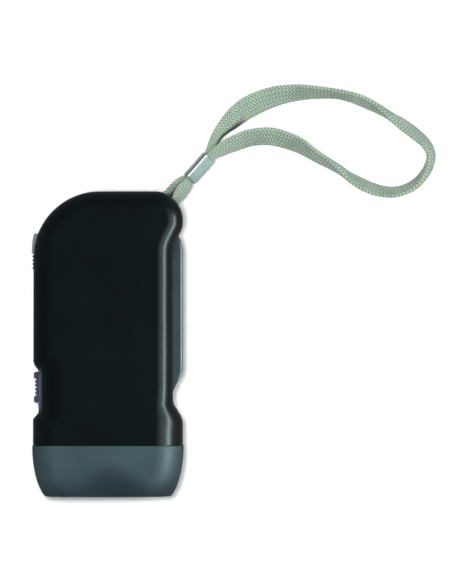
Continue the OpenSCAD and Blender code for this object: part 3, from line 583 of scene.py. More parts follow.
@dataclass(frozen=True)
class BoardLaminate:
    """Lacquered circuit board with copper tracks under the lacquer."""

    name: str
    colour: Colour
    track: Colour
    lane: float = 2.4
    slant: float = 0.6
    track_at: Pair = (0.3, 0.34)
    relief: float = 0.00003

    def make(self) -> bpy.types.Material:
        """Material of the board."""
        paint = Paint(self.name)
        x, y, _ = paint.axes(paint.place(), 1 / MM)
        lane = (((x + self.slant * y) / self.lane).share() - 0.5).size()
        track = paint.smooth(lane, *self.track_at)
        return paint.shade({
            "Base Color": paint.mix(track, self.colour, self.track),
            "Roughness": 0.35 + 0.1 * (paint.noise(600) - 0.5),
            "Normal": paint.bump(track, self.relief),
        })


@dataclass(frozen=True)
class WoundWire:
    """Enamelled wire in close turns, or one insulated wire."""

    name: str
    colour: Colour
    groove: Colour
    pitch: float
    metallic: float
    relief: float = 0.00008

    def make(self) -> bpy.types.Material:
        """Material of the wire."""
        paint = Paint(self.name)
        height = paint.axes(paint.place(), 1 / MM)[2]
        turn = 0.5 + 0.5 * (height * (2 * math.pi / self.pitch)).wave()
        return paint.shade({
            "Base Color": paint.mix(turn, self.groove, self.colour),
            "Metallic": self.metallic,
            "Roughness": 0.42 - 0.1 * turn,
            "Normal": paint.bump(turn, self.relief),
        })


@dataclass(frozen=True)
class KnittedWebbing:
    """Flat webbing in columns of small chevron stitches, with painted shade in places."""

    name: str
    thread: Colour
    lit: Colour
    gap: Colour
    # Colour of the painted shade in the crimp and where the strands lie close
    dim: Colour
    seat: CrimpSeat
    run: float
    pitch: float = 1.2
    column: float = 1.6
    yarns: float = 3600.0
    relief: float = 0.0002
    shade_near_along: Pair = (17.0, 25.0)
    shade_near_across: Pair = (-1.0, 1.3)
    shade_far_along: Pair = (26.0, 20.0)
    shade_far_across: Pair = (-3.2, -1.0)
    grip: Pair = (-0.3, 0.5)

    def make(self) -> bpy.types.Material:
        """Material of the webbing, laid out by its own map in millimetres.

        It carries painted shade in the crimp, on its first strand to the torch, and on one edge where it
        comes back.
        """
        paint = Paint(self.name)
        own_map = paint.node("ShaderNodeUVMap", {"uv_map": "webbing"}).outputs[0]
        along, across, _ = paint.axes(own_map)
        fold = ((across / self.column).share() - 0.5).size() * 2
        yarn = paint.noise(self.yarns)
        phase = (along + fold * (0.8 * self.pitch) + 0.3 * yarn) / self.pitch
        stitch = 0.5 + 0.5 * (phase * (2 * math.pi)).wave()
        valley = paint.smooth(fold, 0.6, 1.0)
        height = stitch * (1 - 0.7 * valley) + 0.3 * yarn
        light = paint.mix(paint.smooth(paint.noise(120), 0.3, 0.7), self.thread, self.lit)
        knitted = paint.mix(paint.smooth(height, 0.0, 0.8), self.gap, light)
        # Painted shade inside the crimp, on the first strand's inner edge near the torch and on one edge
        # of the strand that comes back
        ends = [self.seat.length / 2 + past for past in self.grip]
        crimp_shade = 1 - paint.smooth(self.seat.axes(paint)[0].size(), *ends)
        near = 1 - paint.smooth(along, *self.shade_near_along)
        near = near * (1 - paint.smooth(across, *self.shade_near_across))
        far = paint.smooth(along, *(self.run - back for back in self.shade_far_along))
        far = far * (1 - paint.smooth(across, *self.shade_far_across))
        shaded = 1 - (1 - 0.9 * crimp_shade) * (1 - 0.97 * (near + far))
        return paint.shade({
            "Base Color": paint.mix(shaded, knitted, self.dim),
            "Roughness": 0.78 - 0.12 * stitch,
            "Normal": paint.bump(height, self.relief, 0.7),
            "Sheen Weight": 0.25,
            "Sheen Roughness": 0.4,
        })


class Finishes:
    """All the finishes of the torch, each made once."""

    def __init__(self) -> None:
        """Make every material."""
        # The casing's last colour is a painted sheen on the upper edge of the switch notch
        self.casing = MouldedPlastic(
            "satin black casing", srgb(6, 12, 16), srgb(9, 16, 20), rough=0.4, shine=0.15,
            coat=0.4, painted_sheen=srgb(88, 110, 131),
        ).make()
        # The head's second colour is painted shade, in a spot where the lamp holder stands behind it and
        # towards the front
        self.head = SmokePlastic(
            "smoke-grey head", srgb(52, 70, 76), srgb(28, 40, 48), srgb(60, 79, 85),
            painted_shade_at=(2.0, -47.5), painted_shade_r=(13.0, 8.0), shade_fade=(-43.5, -52.5), rough=0.52,
        ).make()
        # The lever's second colour is painted shade, and its edge colour a painted highlight along the
        # rim
        self.lever = SmokePlastic(
            "smoke-grey lever", srgb(54, 67, 71), srgb(38, 49, 53), srgb(59, 73, 77),
            painted_shade_at=(19.0, 40.0), painted_shade_r=(8.0, 14.0), shade_fade=(28.0, 42.0), rough=0.25,
            edge=srgb(118, 127, 126),
        ).make()
        self.knob = MouldedPlastic(
            "slate-grey knob", srgb(62, 73, 82), srgb(70, 82, 92), rough=0.4, grain=0.00004
        ).make()
        self.button = MouldedPlastic(
            "slate-grey button", srgb(118, 128, 137), srgb(126, 136, 145), rough=0.36, grain=0.00002
        ).make()
        self.lens = ClearPlastic("clear front lens", srgb(236, 242, 244), 0.03).make()
        self.resin = ClearPlastic("lamp resin", srgb(250, 249, 236), 0.08, clear=0.4).make()
        self.silver = WorkedMetal(
            "silvered cup", srgb(226, 228, 230), srgb(212, 214, 217), rough=0.2, marks=300, metal=0.55
        ).make()
        self.steel = WorkedMetal(
            "turned steel", srgb(196, 198, 201), srgb(168, 171, 175), rough=0.3, stretch=(1, 1, 5)
        ).make()
        self.spring = WorkedMetal(
            "bright spring wire", srgb(205, 207, 210), srgb(176, 178, 182), rough=0.22
        ).make()
        self.brass = WorkedMetal(
            "turned brass", srgb(212, 178, 112), srgb(186, 148, 84), rough=0.28, stretch=(1, 1, 6)
        ).make()
        # The crimp's end, seam and ridge colours are painted shade and highlight, and its top colour a
        # painted lit tone
        self.crimp = PlatedSleeve(
            "plated crimp", srgb(130, 146, 142), srgb(92, 110, 110), srgb(205, 220, 216),
            srgb(70, 86, 81), srgb(250, 255, 253), CrimpSeat(),
        ).make()
        self.nylon = MouldedPlastic(
            "off-white nylon", srgb(231, 227, 214), srgb(220, 214, 198), rough=0.5, grain=0.00003
        ).make()
        self.dark = MouldedPlastic(
            "dark frame plastic", srgb(44, 48, 52), srgb(52, 56, 60), rough=0.48, grain=0.00003
        ).make()
        self.magnet = MouldedPlastic(
            "sintered magnet", srgb(58, 58, 61), srgb(70, 69, 70), rough=0.6, grain=0.00006
        ).make()
        self.board = BoardLaminate("green board", srgb(44, 108, 66), srgb(86, 150, 88)).make()
        self.copper = WoundWire(
            "enamelled winding", srgb(198, 116, 66), srgb(112, 56, 30), pitch=0.35, metallic=0.85
        ).make()
        self.lead = WoundWire(
            "red lead", srgb(188, 40, 34), srgb(160, 30, 26), pitch=1.6, metallic=0.0
        ).make()
        # The webbing's last colour is painted shade
        self.webbing = KnittedWebbing(
            "sage webbing", srgb(164, 185, 163), srgb(184, 204, 178), srgb(82, 108, 104),
            srgb(12, 17, 15), CrimpSeat(), run=238.0,
        ).make()


# Meshes

TINY = 1e-6
FLAT_ANGLE = 0.6
SHARP_ANGLE = 32.0
SOFTENED_ANGLE = 34.0
EDGE_STEPS = 4
LATHE_SIDES = 28
CAPSULE_SIDES = 12
SCREW_SIDES = 20


def ease(share: float | np.ndarray) -> float | np.ndarray:
    """Soft start and soft end for a share from 0 to 1."""
    return share * share * (3 - 2 * share)


def put_in_scene(name: str, data: bpy.types.ID) -> bpy.types.Object:
    """Object that shows a mesh, a lamp or a camera, linked to the scene."""
    item = bpy.data.objects.new(name, data)
    bpy.context.scene.collection.objects.link(item)
    return item


def shift(piece: bpy.types.Object, at: Sequence[float]) -> None:
    """Move a piece's mesh by a distance in millimetres."""
    piece.data.transform(Matrix.Translation(Vector(at) * MM))


def add_piece(
    name: str,
    points: Sequence[Sequence[float]],
    faces: Sequence[Sequence[int]],
    material: bpy.types.Material,
    unit: float = MM,
) -> bpy.types.Object:
    """Make a mesh object with faces that point outwards.

    Args:
        name: Name of the piece.
        points: Corners of the mesh.
        faces: Corner numbers of each face.
        material: Finish of the piece.
        unit: Metres in one unit of the points.

    Returns:
        The new object, at the origin.
    """
    mesh = bpy.data.meshes.new(name)
    mesh.from_pydata([tuple(float(c) * unit for c in p) for p in points], [], faces)
    work = bmesh.new()
    work.from_mesh(mesh)
    bmesh.ops.recalc_face_normals(work, faces=work.faces)
    work.to_mesh(mesh)
    work.free()
    mesh.materials.append(material)
    return put_in_scene(name, mesh)


def close_work(
    work: bmesh.types.BMesh, name: str, material: bpy.types.Material
) -> bpy.types.Object:
    """Turn a mesh under work into a piece.

    Args:
        work: The mesh under work, which is freed.
        name: Name of the piece.
        material: Its finish.

    Returns:
        The new object, at the origin.
    """
    mesh = bpy.data.meshes.new(name)
    work.to_mesh(mesh)
    work.free()
    mesh.materials.append(material)
    return put_in_scene(name, mesh)


def round_edges(
    work: bmesh.types.BMesh, edges: list[bmesh.types.BMEdge], radius: float, clamp: bool = False
) -> None:
    """Round some edges of a mesh under work.

    Args:
        work: The mesh under work.
        edges: The edges to round.
        radius: Their rounding.
        clamp: Whether short edges limit the rounding.
    """
    bmesh.ops.bevel(
        work, geom=edges, offset=radius * MM, segments=EDGE_STEPS, profile=0.5,
        affect="EDGES", clamp_overlap=clamp,
    )


def settle(piece: bpy.types.Object) -> None:
    """Turn a piece and its modifiers into one plain mesh."""
    graph = bpy.context.evaluated_depsgraph_get()
    mesh = bpy.data.meshes.new_from_object(
        piece.evaluated_get(graph), preserve_all_data_layers=True, depsgraph=graph
    )
    piece.modifiers.clear()
    piece.data = mesh
    mesh.name = piece.name


def smooth_shade(piece: bpy.types.Object) -> None:
    """Shade smoothly, with flat faces kept flat and sharp steps kept sharp."""
    piece.data.shade_smooth()
    piece.data.set_sharp_from_angle(angle=math.radians(SHARP_ANGLE))
    weighted = piece.modifiers.new("flat faces", "WEIGHTED_NORMAL")
    weighted.keep_sharp = True
    settle(piece)


def carve(piece: bpy.types.Object, cutters: Sequence[bpy.types.Object]) -> None:
    """Cut the cutters out of a piece and remove them.

    Args:
        piece: What is cut.
        cutters: Closed meshes.
    """
    for cutter in cutters:
        cut = piece.modifiers.new(cutter.name, "BOOLEAN")
        cut.operation = "DIFFERENCE"
        cut.solver = "EXACT"
        cut.object = cutter
    settle(piece)
    for cutter in cutters:
        bpy.data.objects.remove(cutter)


def skin(rows: Sequence[np.ndarray], ring: bool = False) -> tuple[np.ndarray, list[list[int]]]:
    """Skin over a row of loops with equal counts of points.

    Args:
        rows: The loops.
        ring: True where the last loop joins the first, and otherwise both ends get a face.

    Returns:
        The points and the faces.
    """
    count = len(rows[0])
    last = len(rows) if ring else len(rows) - 1
    faces = [
        [
            r * count + i,
            r * count + (i + 1) % count,
            (r + 1) % len(rows) * count + (i + 1) % count,
            (r + 1) % len(rows) * count + i,
        ]
        for r in range(last)
        for i in range(count)
    ]
    if not ring:
        faces.append(list(range(count)))
        faces.append([(len(rows) - 1) * count + i for i in range(count)])
    return np.concatenate(rows), faces


def rounded_box(
    name: str,
    low: Sequence[float],
    high: Sequence[float],
    material: bpy.types.Material,
    radius: float = 0.0,
    along: int | None = None,
) -> bpy.types.Object:
    """Box with its edges rounded.

    Args:
        name: Name of the box.
        low, high: Opposite corners.
        material: Its finish.
        radius: Rounding of the edges.
        along: Axis number of the edges to round, or None for all of them.

    Returns:
        The new object.
    """
    work = bmesh.new()
    bmesh.ops.create_cube(work, size=1.0)
    centre = (Vector(low) + Vector(high)) / 2
    span = Vector(high) - Vector(low)
    for vert in work.verts:
        vert.co = Vector(c + s * v for c, s, v in zip(centre, span, vert.co)) * MM
    if radius:
        edges = [
            e for e in work.edges
            if along is None or abs((e.verts[0].co - e.verts[1].co)[along]) > TINY
        ]
        round_edges(work, edges, radius)
    return close_work(work, name, material)


def lathe(
    name: str, profile: Sequence[Pair], material: bpy.types.Material
) -> bpy.types.Object:
    """Turned ring around Z with a closed profile that stays off the axis.

    Args:
        name: Name of the piece.
        profile: Radius and height of each corner, in order.
        material: Its finish.

    Returns:
        The new object.
    """
    rows = []
    for step in range(LATHE_SIDES):
        turn = 2 * math.pi * step / LATHE_SIDES
        rows.append(np.array([(r * math.cos(turn), r * math.sin(turn), z) for r, z in profile]))
    return add_piece(name, *skin(rows, ring=True), material)


def turned(
    name: str, profile: Sequence[Pair], material: bpy.types.Material, sides: int
) -> bpy.types.Object:
    """Solid turned around Z, with a flat face at each end.

    Args:
        name: Name of the piece.
        profile: Radius and height of each corner, from one end to the other.
        material: Its finish.
        sides: Faces around the axis.

    Returns:
        The new object.
    """
    turn = np.linspace(0, 2 * math.pi, sides, endpoint=False)
    rows = [
        np.column_stack([r * np.cos(turn), r * np.sin(turn), np.full(sides, z)])
        for r, z in profile
    ]
    return add_piece(name, *skin(rows), material)


def capsule(
    name: str, radius: float, length: float, material: bpy.types.Material
) -> bpy.types.Object:
    """Rib along Z with round ends, centred on the origin.

    Args:
        name: Name of the rib.
        radius: Its radius.
        length: Its whole length.
        material: Its finish.

    Returns:
        The new object.
    """
    half = length / 2 - radius
    profile = []
    for step in range(-84, 85, 12):
        angle = math.radians(step)
        straight = math.copysign(half, step) * (step != 0)
        profile.append((radius * math.cos(angle), radius * math.sin(angle) + straight))
    return turned(name, profile, material, CAPSULE_SIDES)


@dataclass(frozen=True)
class PanScrew:
    """Pan-head screw with a cross recess, its head's seat at the origin and its shank upwards."""

    head_r: float
    head_h: float
    shank_r: float
    length: float
    pitch: float = 1.1
    plain: float = 0.8
    runout: float = 1.5
    root: float = 0.8
    crest: float = 0.98
    tip_r: float = 0.1
    recess: float = 0.62
    recess_half: float = 0.28
    recess_floor: float = 0.35

    def make(self, name: str, material: bpy.types.Material) -> bpy.types.Object:
        """Mesh of the screw.

        Args:
            name: Name of the screw.
            material: Its finish.

        Returns:
            The new object.
        """
        crown = [
            (self.head_r * math.cos(math.radians(a)), -self.head_h * math.sin(math.radians(a)))
            for a in range(80, -1, -16)
        ]
        core_r = self.shank_r * self.root
        profile = crown + [(core_r, 0.0)]
        for step in range(int((self.length - self.runout) / self.pitch)):
            z = self.plain + step * self.pitch
            profile += [(core_r, z), (self.shank_r * self.crest, z + self.pitch / 2)]
        profile += [(core_r, self.length - self.plain), (self.tip_r, self.length)]
        piece = turned(name, profile, material, SCREW_SIDES)
        reach = self.head_r * self.recess
        low, high = -self.head_h - 1, -self.head_h * self.recess_floor
        arms = [
            rounded_box("recess", (-x, -y, low), (x, y, high), material)
            for x, y in ((reach, self.recess_half), (self.recess_half, reach))
        ]
        carve(piece, arms)
        return piece


def softened_copy(
    node: bpy.types.Object,
    name: str,
    material: bpy.types.Material,
    radius: float,
    where: Callable[[Vector], bool],
    clamp: bool = True,
) -> bpy.types.Object:
    """Copy of a frame node with some of its edges rounded.

    Args:
        node: The frame's node.
        name: Name of the copy.
        material: Its finish.
        radius: Rounding of the edges.
        where: Tells, for a point in millimetres, if the edges there are rounded.
        clamp: Whether short edges limit the rounding.

    Returns:
        The new object.
    """
    work = bmesh.new()
    work.from_mesh(node.data)
    bmesh.ops.remove_doubles(work, verts=work.verts, dist=TINY)
    bmesh.ops.dissolve_limit(
        work, angle_limit=math.radians(FLAT_ANGLE), verts=work.verts, edges=work.edges
    )
    edges = [
        e for e in work.edges
        if len(e.link_faces) == 2
        and e.calc_face_angle() > math.radians(SOFTENED_ANGLE)
        and all(where(v.co / MM) for v in e.verts)
    ]
    round_edges(work, edges, radius, clamp)
    copy = close_work(work, name, material)
    smooth_shade(copy)
    return copy


class Repeater(NodeMaker):
    """Geometry Nodes that set copies of one small mesh in a row or on points."""

    INPUTS = {
        "Piece": "NodeSocketObject",
        "Count": "NodeSocketInt",
        "Start": "NodeSocketVector",
        "Step": "NodeSocketVector",
        "Finish": "NodeSocketMaterial",
    }

    def __init__(self, layout: Layout) -> None:
        """Build the node tree.

        Args:
            layout: A row takes Count, Start and Step, and points come from the modified mesh.
        """
        super().__init__(bpy.data.node_groups.new(f"copies in {layout.value}", "GeometryNodeTree"))
        face = self.tree.interface
        face.new_socket("Geometry", in_out="INPUT", socket_type="NodeSocketGeometry")
        for name, kind in self.INPUTS.items():
            face.new_socket(name, in_out="INPUT", socket_type=kind)
        face.new_socket("Geometry", in_out="OUTPUT", socket_type="NodeSocketGeometry")
        given = self.node("NodeGroupInput").outputs
        piece = self.node("GeometryNodeObjectInfo", None, {"Object": given["Piece"]})
        places = given["Geometry"]
        if layout is Layout.ROW:
            places = self.node(
                "GeometryNodeMeshLine",
                None,
                {"Count": given["Count"], "Start Location": given["Start"], "Offset": given["Step"]},
            ).outputs["Mesh"]
        copies = self.node(
            "GeometryNodeInstanceOnPoints",
            None,
            {"Points": places, "Instance": piece.outputs["Geometry"]},
        )
        real = self.node("GeometryNodeRealizeInstances", None, {"Geometry": copies.outputs[0]})
        dressed = self.node(
            "GeometryNodeSetMaterial",
            None,
            {"Geometry": real.outputs[0], "Material": given["Finish"]},
        )
        self.node("NodeGroupOutput", None, {0: dressed.outputs[0]})

    def make(
        self,
        name: str,
        piece: bpy.types.Object,
        material: bpy.types.Material,
        points: Sequence[Sequence[float]] = ((0.0, 0.0, 0.0),),
        **inputs: object,
    ) -> bpy.types.Object:
        """Set out the copies as one plain mesh and remove the small mesh.

        Args:
            name: Name of the new piece.
            piece: The small mesh.
            material: Finish of the copies.
            points: Places of the copies where the layout takes points.
            **inputs: Count, Start and Step of a row.

        Returns:
            The new piece, at the origin.
        """
        mesh = bpy.data.meshes.new(name)
        mesh.from_pydata([tuple(c * MM for c in p) for p in points], [], [])
        copies = put_in_scene(name, mesh)
        modifier = copies.modifiers.new("copies", "NODES")
        modifier.node_group = self.tree
        keys = {
            item.name: item.identifier
            for item in self.tree.interface.items_tree
            if item.in_out == "INPUT"
        }
        for key, value in {"Piece": piece, "Finish": material, **inputs}.items():
            modifier[keys[key]] = value
        settle(copies)
        bpy.data.objects.remove(piece)
        return copies


# Outlines


@dataclass(frozen=True)
class Corner:
    """A corner of an outline: place, radius and the edge rounding of the side that follows."""

    x: float
    y: float
    r: float
    edge: float = 0.0


class Outline:
    """Closed outline of straight sides with rounded corners, walked anticlockwise."""

    LEAST_R = 0.4
    LEAST_STEPS = 4
    TURN_STEP = 5.0
    SIDE_POINTS = 9

    def __init__(self, corners: Sequence[Corner], steps: Sequence[int] | None = None) -> None:
        """Work out the directions and the count of points of each corner.

        Args:
            corners: The corners, in order.
            steps: Count of steps around each corner, or None to choose them by the turn.
        """
        self.at = np.array([(c.x, c.y) for c in corners])
        self.r = np.array([c.r for c in corners])
        self.edge = np.array([c.edge for c in corners])
        sides = np.roll(self.at, -1, axis=0) - self.at
        self.along = sides / np.linalg.norm(sides, axis=1, keepdims=True)
        self.inward = np.stack([-self.along[:, 1], self.along[:, 0]], axis=1)
        before = np.roll(self.along, 1, axis=0)
        across = before[:, 0] * self.along[:, 1] - before[:, 1] * self.along[:, 0]
        self.turn = np.arctan2(across, (before * self.along).sum(axis=1))
        self.steps = steps or [
            max(self.LEAST_STEPS, round(abs(math.degrees(t)) / self.TURN_STEP)) for t in self.turn
        ]

    def inset(self, depth: np.ndarray) -> Outline:
        """Outline with its sides moved inwards.

        Args:
            depth: How far each side moves.

        Returns:
            The new outline, with as many points.
        """
        corners = []
        for i, turn in enumerate(self.turn):
            normal_a, normal_b = self.inward[i - 1], self.inward[i]
            depth_a, depth_b = depth[i - 1], depth[i]
            c = float(normal_a @ normal_b)
            move = normal_a * (depth_a - depth_b * c) + normal_b * (depth_b - depth_a * c)
            at = self.at[i] + move / (1 - c * c)
            change = -min(depth_a, depth_b) if turn > 0 else max(depth_a, depth_b)
            r = max(self.r[i] + change, self.LEAST_R)
            corners.append(Corner(at[0], at[1], r, self.edge[i]))
        return Outline(corners, self.steps)

    def loop(self) -> np.ndarray:
        """Points of the outline, corner by corner."""
        arcs = []
        for i, turn in enumerate(self.turn):
            r = self.r[i]
            start = self.at[i] - self.along[i - 1] * r * math.tan(abs(turn) / 2)
            centre = start + self.inward[i - 1] * r * math.copysign(1, turn)
            first = math.atan2(start[1] - centre[1], start[0] - centre[0])
            angle = first + turn * np.linspace(0, 1, self.steps[i] + 1)
            arcs.append(centre + r * np.column_stack([np.cos(angle), np.sin(angle)]))
        share = np.linspace(0, 1, self.SIDE_POINTS + 2)[1:-1, None]
        points = []
        for arc, after in zip(arcs, arcs[1:] + arcs[:1]):
            points += [arc, arc[-1] + (after[0] - arc[-1]) * share]
        return np.concatenate(points)

    def spread(self, sides: np.ndarray) -> np.ndarray:
        """Values of the sides at each point, blended around the corners.

        Args:
            sides: One value for each side; a side without edge rounding takes its neighbours'.

        Returns:
            One value for each point.
        """
        values = []
        for i, steps in enumerate(self.steps):
            first, last = sides[i - 1], sides[i]
            if self.edge[i - 1] == 0:
                first = last
            if self.edge[i] == 0:
                last = first
            blend = ease(np.linspace(0, 1, steps + 1))
            values += [first + (last - first) * blend, np.full(self.SIDE_POINTS, last)]
        return np.concatenate(values)


@dataclass
class Lid:
    """A lid whose rounded edge runs from an outline up to a flat face."""

    side: np.ndarray
    inner: np.ndarray
    flat: np.ndarray
    edge: np.ndarray
    top: float

    def ring(self, wall: float, angle: float) -> np.ndarray:
        """Loop on the rounded edge.

        Args:
            wall: How far inside the outer skin the loop lies, and 0 for the outer skin.
            angle: Angle on the rounding, from 0 at the side to 90 on the flat.

        Returns:
            The points, with their heights.
        """
        turn = math.radians(angle)
        side = self.inner if wall else self.side
        loop = side + (self.flat - side) * (1 - math.cos(turn))
        height = self.top - wall - (self.edge - wall) * (1 - math.sin(turn))
        return np.column_stack([loop, height])


# Sub-assemblies


@dataclass
class Torch:
    """Main sizes that the sub-assemblies share."""

    body_l: float = 86.0
    body_w: float = 50.6
    body_t: float = 38.0
    head_l: float = 17.4
    wall: float = 2.0
    waist_d: float = 3.4
    notch_d: float = 1.8

    def __post_init__(self) -> None:
        """Work out the main levels and edges."""
        self.mid = self.body_t / 2
        self.rear_y = (self.body_l + self.head_l) / 2
        self.joint_y = self.rear_y - self.body_l
        self.front_y = -self.rear_y
        self.lever_x = self.body_w / 2
        self.thumb_x = -self.body_w / 2
        self.waist_x = self.lever_x - self.waist_d
        self.notch_x = self.thumb_x + self.notch_d


def place(piece: bpy.types.Object, body: Body, slot: str, *nodes: str) -> None:
    """Let a finished piece ride on a body and stand for frame nodes.

    Args:
        piece: The finished piece.
        body: The body that it moves with.
        slot: The record's material slot; not used.
        *nodes: Frame nodes that it replaces.
    """
    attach(piece, body.value)
    if nodes:
        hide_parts(*nodes)
    LOG.info("%s: %d faces, on %s", piece.name, len(piece.data.polygons), body.value)


@dataclass(frozen=True)
class Opening:
    """A box that is cut out of the shells: opposite corners and the rounding of its edges along X."""

    name: str
    low: Triple
    high: Triple
    r: float

    def cutter(self, material: bpy.types.Material) -> bpy.types.Object:
        """Closed mesh that cuts the opening."""
        return rounded_box(self.name, self.low, self.high, material, self.r, 0)


@dataclass
class Casing:
    """The two black side shells with their openings, bosses, screws and grip ribs."""

    torch: Torch
    finishes: Finishes
    edge: float = 5.5
    head_edge: float = 9.6
    thumb_edge: float = 7.0
    notch_edge: float = 8.0
    groove: float = 0.15
    waist_from: float = 14.1
    waist_to: float = 18.7
    notch_from: float = 11.1
    notch_l: float = 14.4
    notch_slope: float = 2.2
    swell_from: float = -14.0
    swell_l: float = 17.0
    front_corner: Pair = (20.0, -10.0)
    openings: tuple[Opening, ...] = (
        Opening("lever slot", (18.9, -23.0, 8.6), (32.0, 37.2, 29.4), 1.2),
        Opening("switch slot", (-27.0, -20.0, 16.4), (-20.9, -11.9, 21.6), 0.6),
        Opening("button slot", (-32.0, 30.5, 13.8), (-19.8, 37.7, 24.2), 0.6),
    )
    strap_opening: Opening = Opening("strap slot", (2.0, -3.4, -5.0), (16.0, 3.4, 5.0), 1.2)
    strap_aim: float = 47.0
    screw_at: tuple[Pair, ...] = ((-19.5, -29.5), (19.0, -29.5), (-19.5, 16.5), (2.5, 46.0))
    foot_at: tuple[Pair, ...] = ((-3.96, 42.14), (12.55, 41.1), (-17.5, 7.1))
    pivot_at: Pair = (15.4, -21.0)
    strap_pin_at: Pair = (18.7, 45.65)
    # Radius and height of each corner of what is turned
    screw_hole: tuple[Pair, ...] = ((1e-4, -3.0), (2.4, -3.0), (2.4, 4.0), (1e-4, 4.0))
    tube: tuple[Pair, ...] = (
        (2.42, 1.9), (2.42, 8.0), (1.4, 8.0), (1.4, 18.9), (3.2, 18.9), (3.2, 1.9)
    )
    pillar: tuple[Pair, ...] = (
        (1.27, 19.1), (1.27, 30.0), (0.2, 30.4), (0.2, 36.1), (2.5, 36.1), (2.5, 19.1)
    )
    foot: tuple[Pair, ...] = (
        (0.97, 18.5), (0.97, 26.5), (2.2, 26.5), (2.2, 1.9), (0.2, 1.9), (0.2, 18.5)
    )
    post_r: Pair = (1.56, 2.9)
    post_end: float = 17.1
    pivot_gap: float = 10.2
    strap_gap: float = 5.0
    casing_screw: PanScrew = PanScrew(2.2, 1.6, 1.25, 22.4)
    casing_screw_z: float = 8.0
    plate_screw: PanScrew = PanScrew(1.9, 1.3, 0.95, 8.5)
    plate_screw_z: float = 28.0
    rib_count: int = 4
    rib_pitch: float = 1.3
    rib_from: Pair = (-25.2, 29.7)
    rib_r: float = 0.5
    rib_l: float = 10.0

    def outline(self) -> Outline:
        """Outline of the body, seen from above."""
        t = self.torch
        waist_front, waist_rear = t.joint_y + self.waist_from, t.rear_y - self.waist_to
        notch_front = t.joint_y + self.notch_from
        notch_rear = notch_front + self.notch_l
        return Outline([
            Corner(t.thumb_x, t.joint_y, 0.5, 0.0),
            Corner(t.lever_x, t.joint_y, 0.5, self.head_edge),
            Corner(t.lever_x, waist_front - 5.4, 6.0, 7.5),
            Corner(t.waist_x, waist_front, 4.0, self.edge),
            Corner(t.waist_x, waist_rear, 8.0, self.edge),
            Corner(t.lever_x, waist_rear + 6.8, 6.0, self.edge),
            Corner(t.lever_x, t.rear_y, 9.5, self.edge),
            Corner(t.thumb_x + 0.25, t.rear_y, 22.4, self.edge),
            Corner(t.thumb_x + 0.15, notch_rear + self.notch_slope, 3.2, 6.6),
            Corner(t.notch_x, notch_rear, 1.2, self.notch_edge),
            Corner(t.notch_x, notch_front, 1.0, 7.4),
            Corner(t.thumb_x, notch_front - self.notch_slope, 1.2, self.thumb_edge),
        ])

    def shell(self, half: Half) -> bpy.types.Object:
        """Hollow half of the body, uncut, with an edge that swells towards the head.

        Args:
            half: Which shell.

        Returns:
            The new object.
        """
        t = self.torch
        outline = self.outline()
        side = outline.loop()
        flat = outline.inset(outline.edge).loop()
        edge = outline.spread(outline.edge)
        x, y = side.T
        swell = ease(np.clip((self.swell_from - y) / self.swell_l, 0, 1))
        front = (x > self.front_corner[0]) & (y < self.front_corner[1]) & (y > t.joint_y + TINY)
        edge[front] = (self.edge + (self.head_edge - self.edge) * swell)[front]
        level = t.waist_x - self.edge - (self.head_edge - self.edge - t.waist_d) * swell
        flat[front] = np.column_stack([level, y])[front]
        sides = np.ones(len(outline.r))
        inner = outline.inset(sides * t.wall).loop()
        lip = outline.inset(sides * self.groove).loop()
        lid = Lid(side, inner, flat, edge, t.mid)
        rows = [lid.ring(t.wall, angle) for angle in range(90, -1, -15)]
        for loop, z in ((inner, 0.0), (lip, 0.0), (side, self.groove)):
            rows.append(np.column_stack([loop, np.full(len(loop), z)]))
        rows += [lid.ring(0.0, angle) for angle in range(0, 91, 6)]
        points, faces = skin(rows)
        points[:, 2] = t.mid + half.value * points[:, 2]
        return add_piece(f"{half.name.lower()}_casing", points, faces, self.finishes.casing)

    def cutters(self, half: Half) -> list[bpy.types.Object]:
        """Openings for the lever, switch, button, strap and screws.

        Args:
            half: Which shell is cut.

        Returns:
            Closed cutting meshes.
        """
        finish = self.finishes.casing
        cuts = [opening.cutter(finish) for opening in self.openings]
        strap = self.strap_opening.cutter(finish)
        strap.data.transform(Matrix.Rotation(math.radians(self.strap_aim), 4, "Z"))
        shift(strap, (*self.strap_pin_at, self.torch.mid))
        cuts.append(strap)
        if half is Half.LOWER:
            for at in self.screw_at:
                hole = lathe("screw hole", self.screw_hole, finish)
                shift(hole, (*at, 0.0))
                cuts.append(hole)
        return cuts

    def build(self) -> None:
        """Make the shells and what belongs to them."""
        for half in Half:
            shell = self.shell(half)
            carve(shell, self.cutters(half))
            smooth_shade(shell)
            place(shell, Body.HOUSING, "black_casing", f"{half.name.lower()}_shell")
        self.bosses()
        self.posts()
        self.grips()
        self.screws()

    def bosses(self) -> None:
        """Tubes that take the casing screws, and the feet under the gear plate."""
        on_points = Repeater(Layout.POINTS)
        black = self.finishes.casing
        sets = {
            "screw_tubes": (self.screw_at, self.tube),
            "screw_pillars": (self.screw_at, self.pillar),
            "plate_feet": (self.foot_at, self.foot),
        }
        for name, (places, profile) in sets.items():
            one = lathe(f"{name}_one", profile, black)
            bosses = on_points.make(name, one, black, [(*at, 0.0) for at in places])
            smooth_shade(bosses)
            place(bosses, Body.HOUSING, "black_casing")

    def posts(self) -> None:
        """Hollow posts that hold the lever's pin and the strap's pin at both ends."""
        mid = self.torch.mid
        bore, outer = self.post_r
        pins = {
            "pivot_post": (self.pivot_at, self.pivot_gap),
            "strap_post": (self.strap_pin_at, self.strap_gap),
        }
        for name, (at, gap) in pins.items():
            for half in Half:
                low, high = sorted((mid + half.value * gap, mid + half.value * self.post_end))
                profile = ((bore, low), (bore, high), (outer, high), (outer, low))
                post = lathe(f"{half.name.lower()}_{name}", profile, self.finishes.casing)
                shift(post, (*at, 0.0))
                smooth_shade(post)
                place(post, Body.HOUSING, "black_casing")

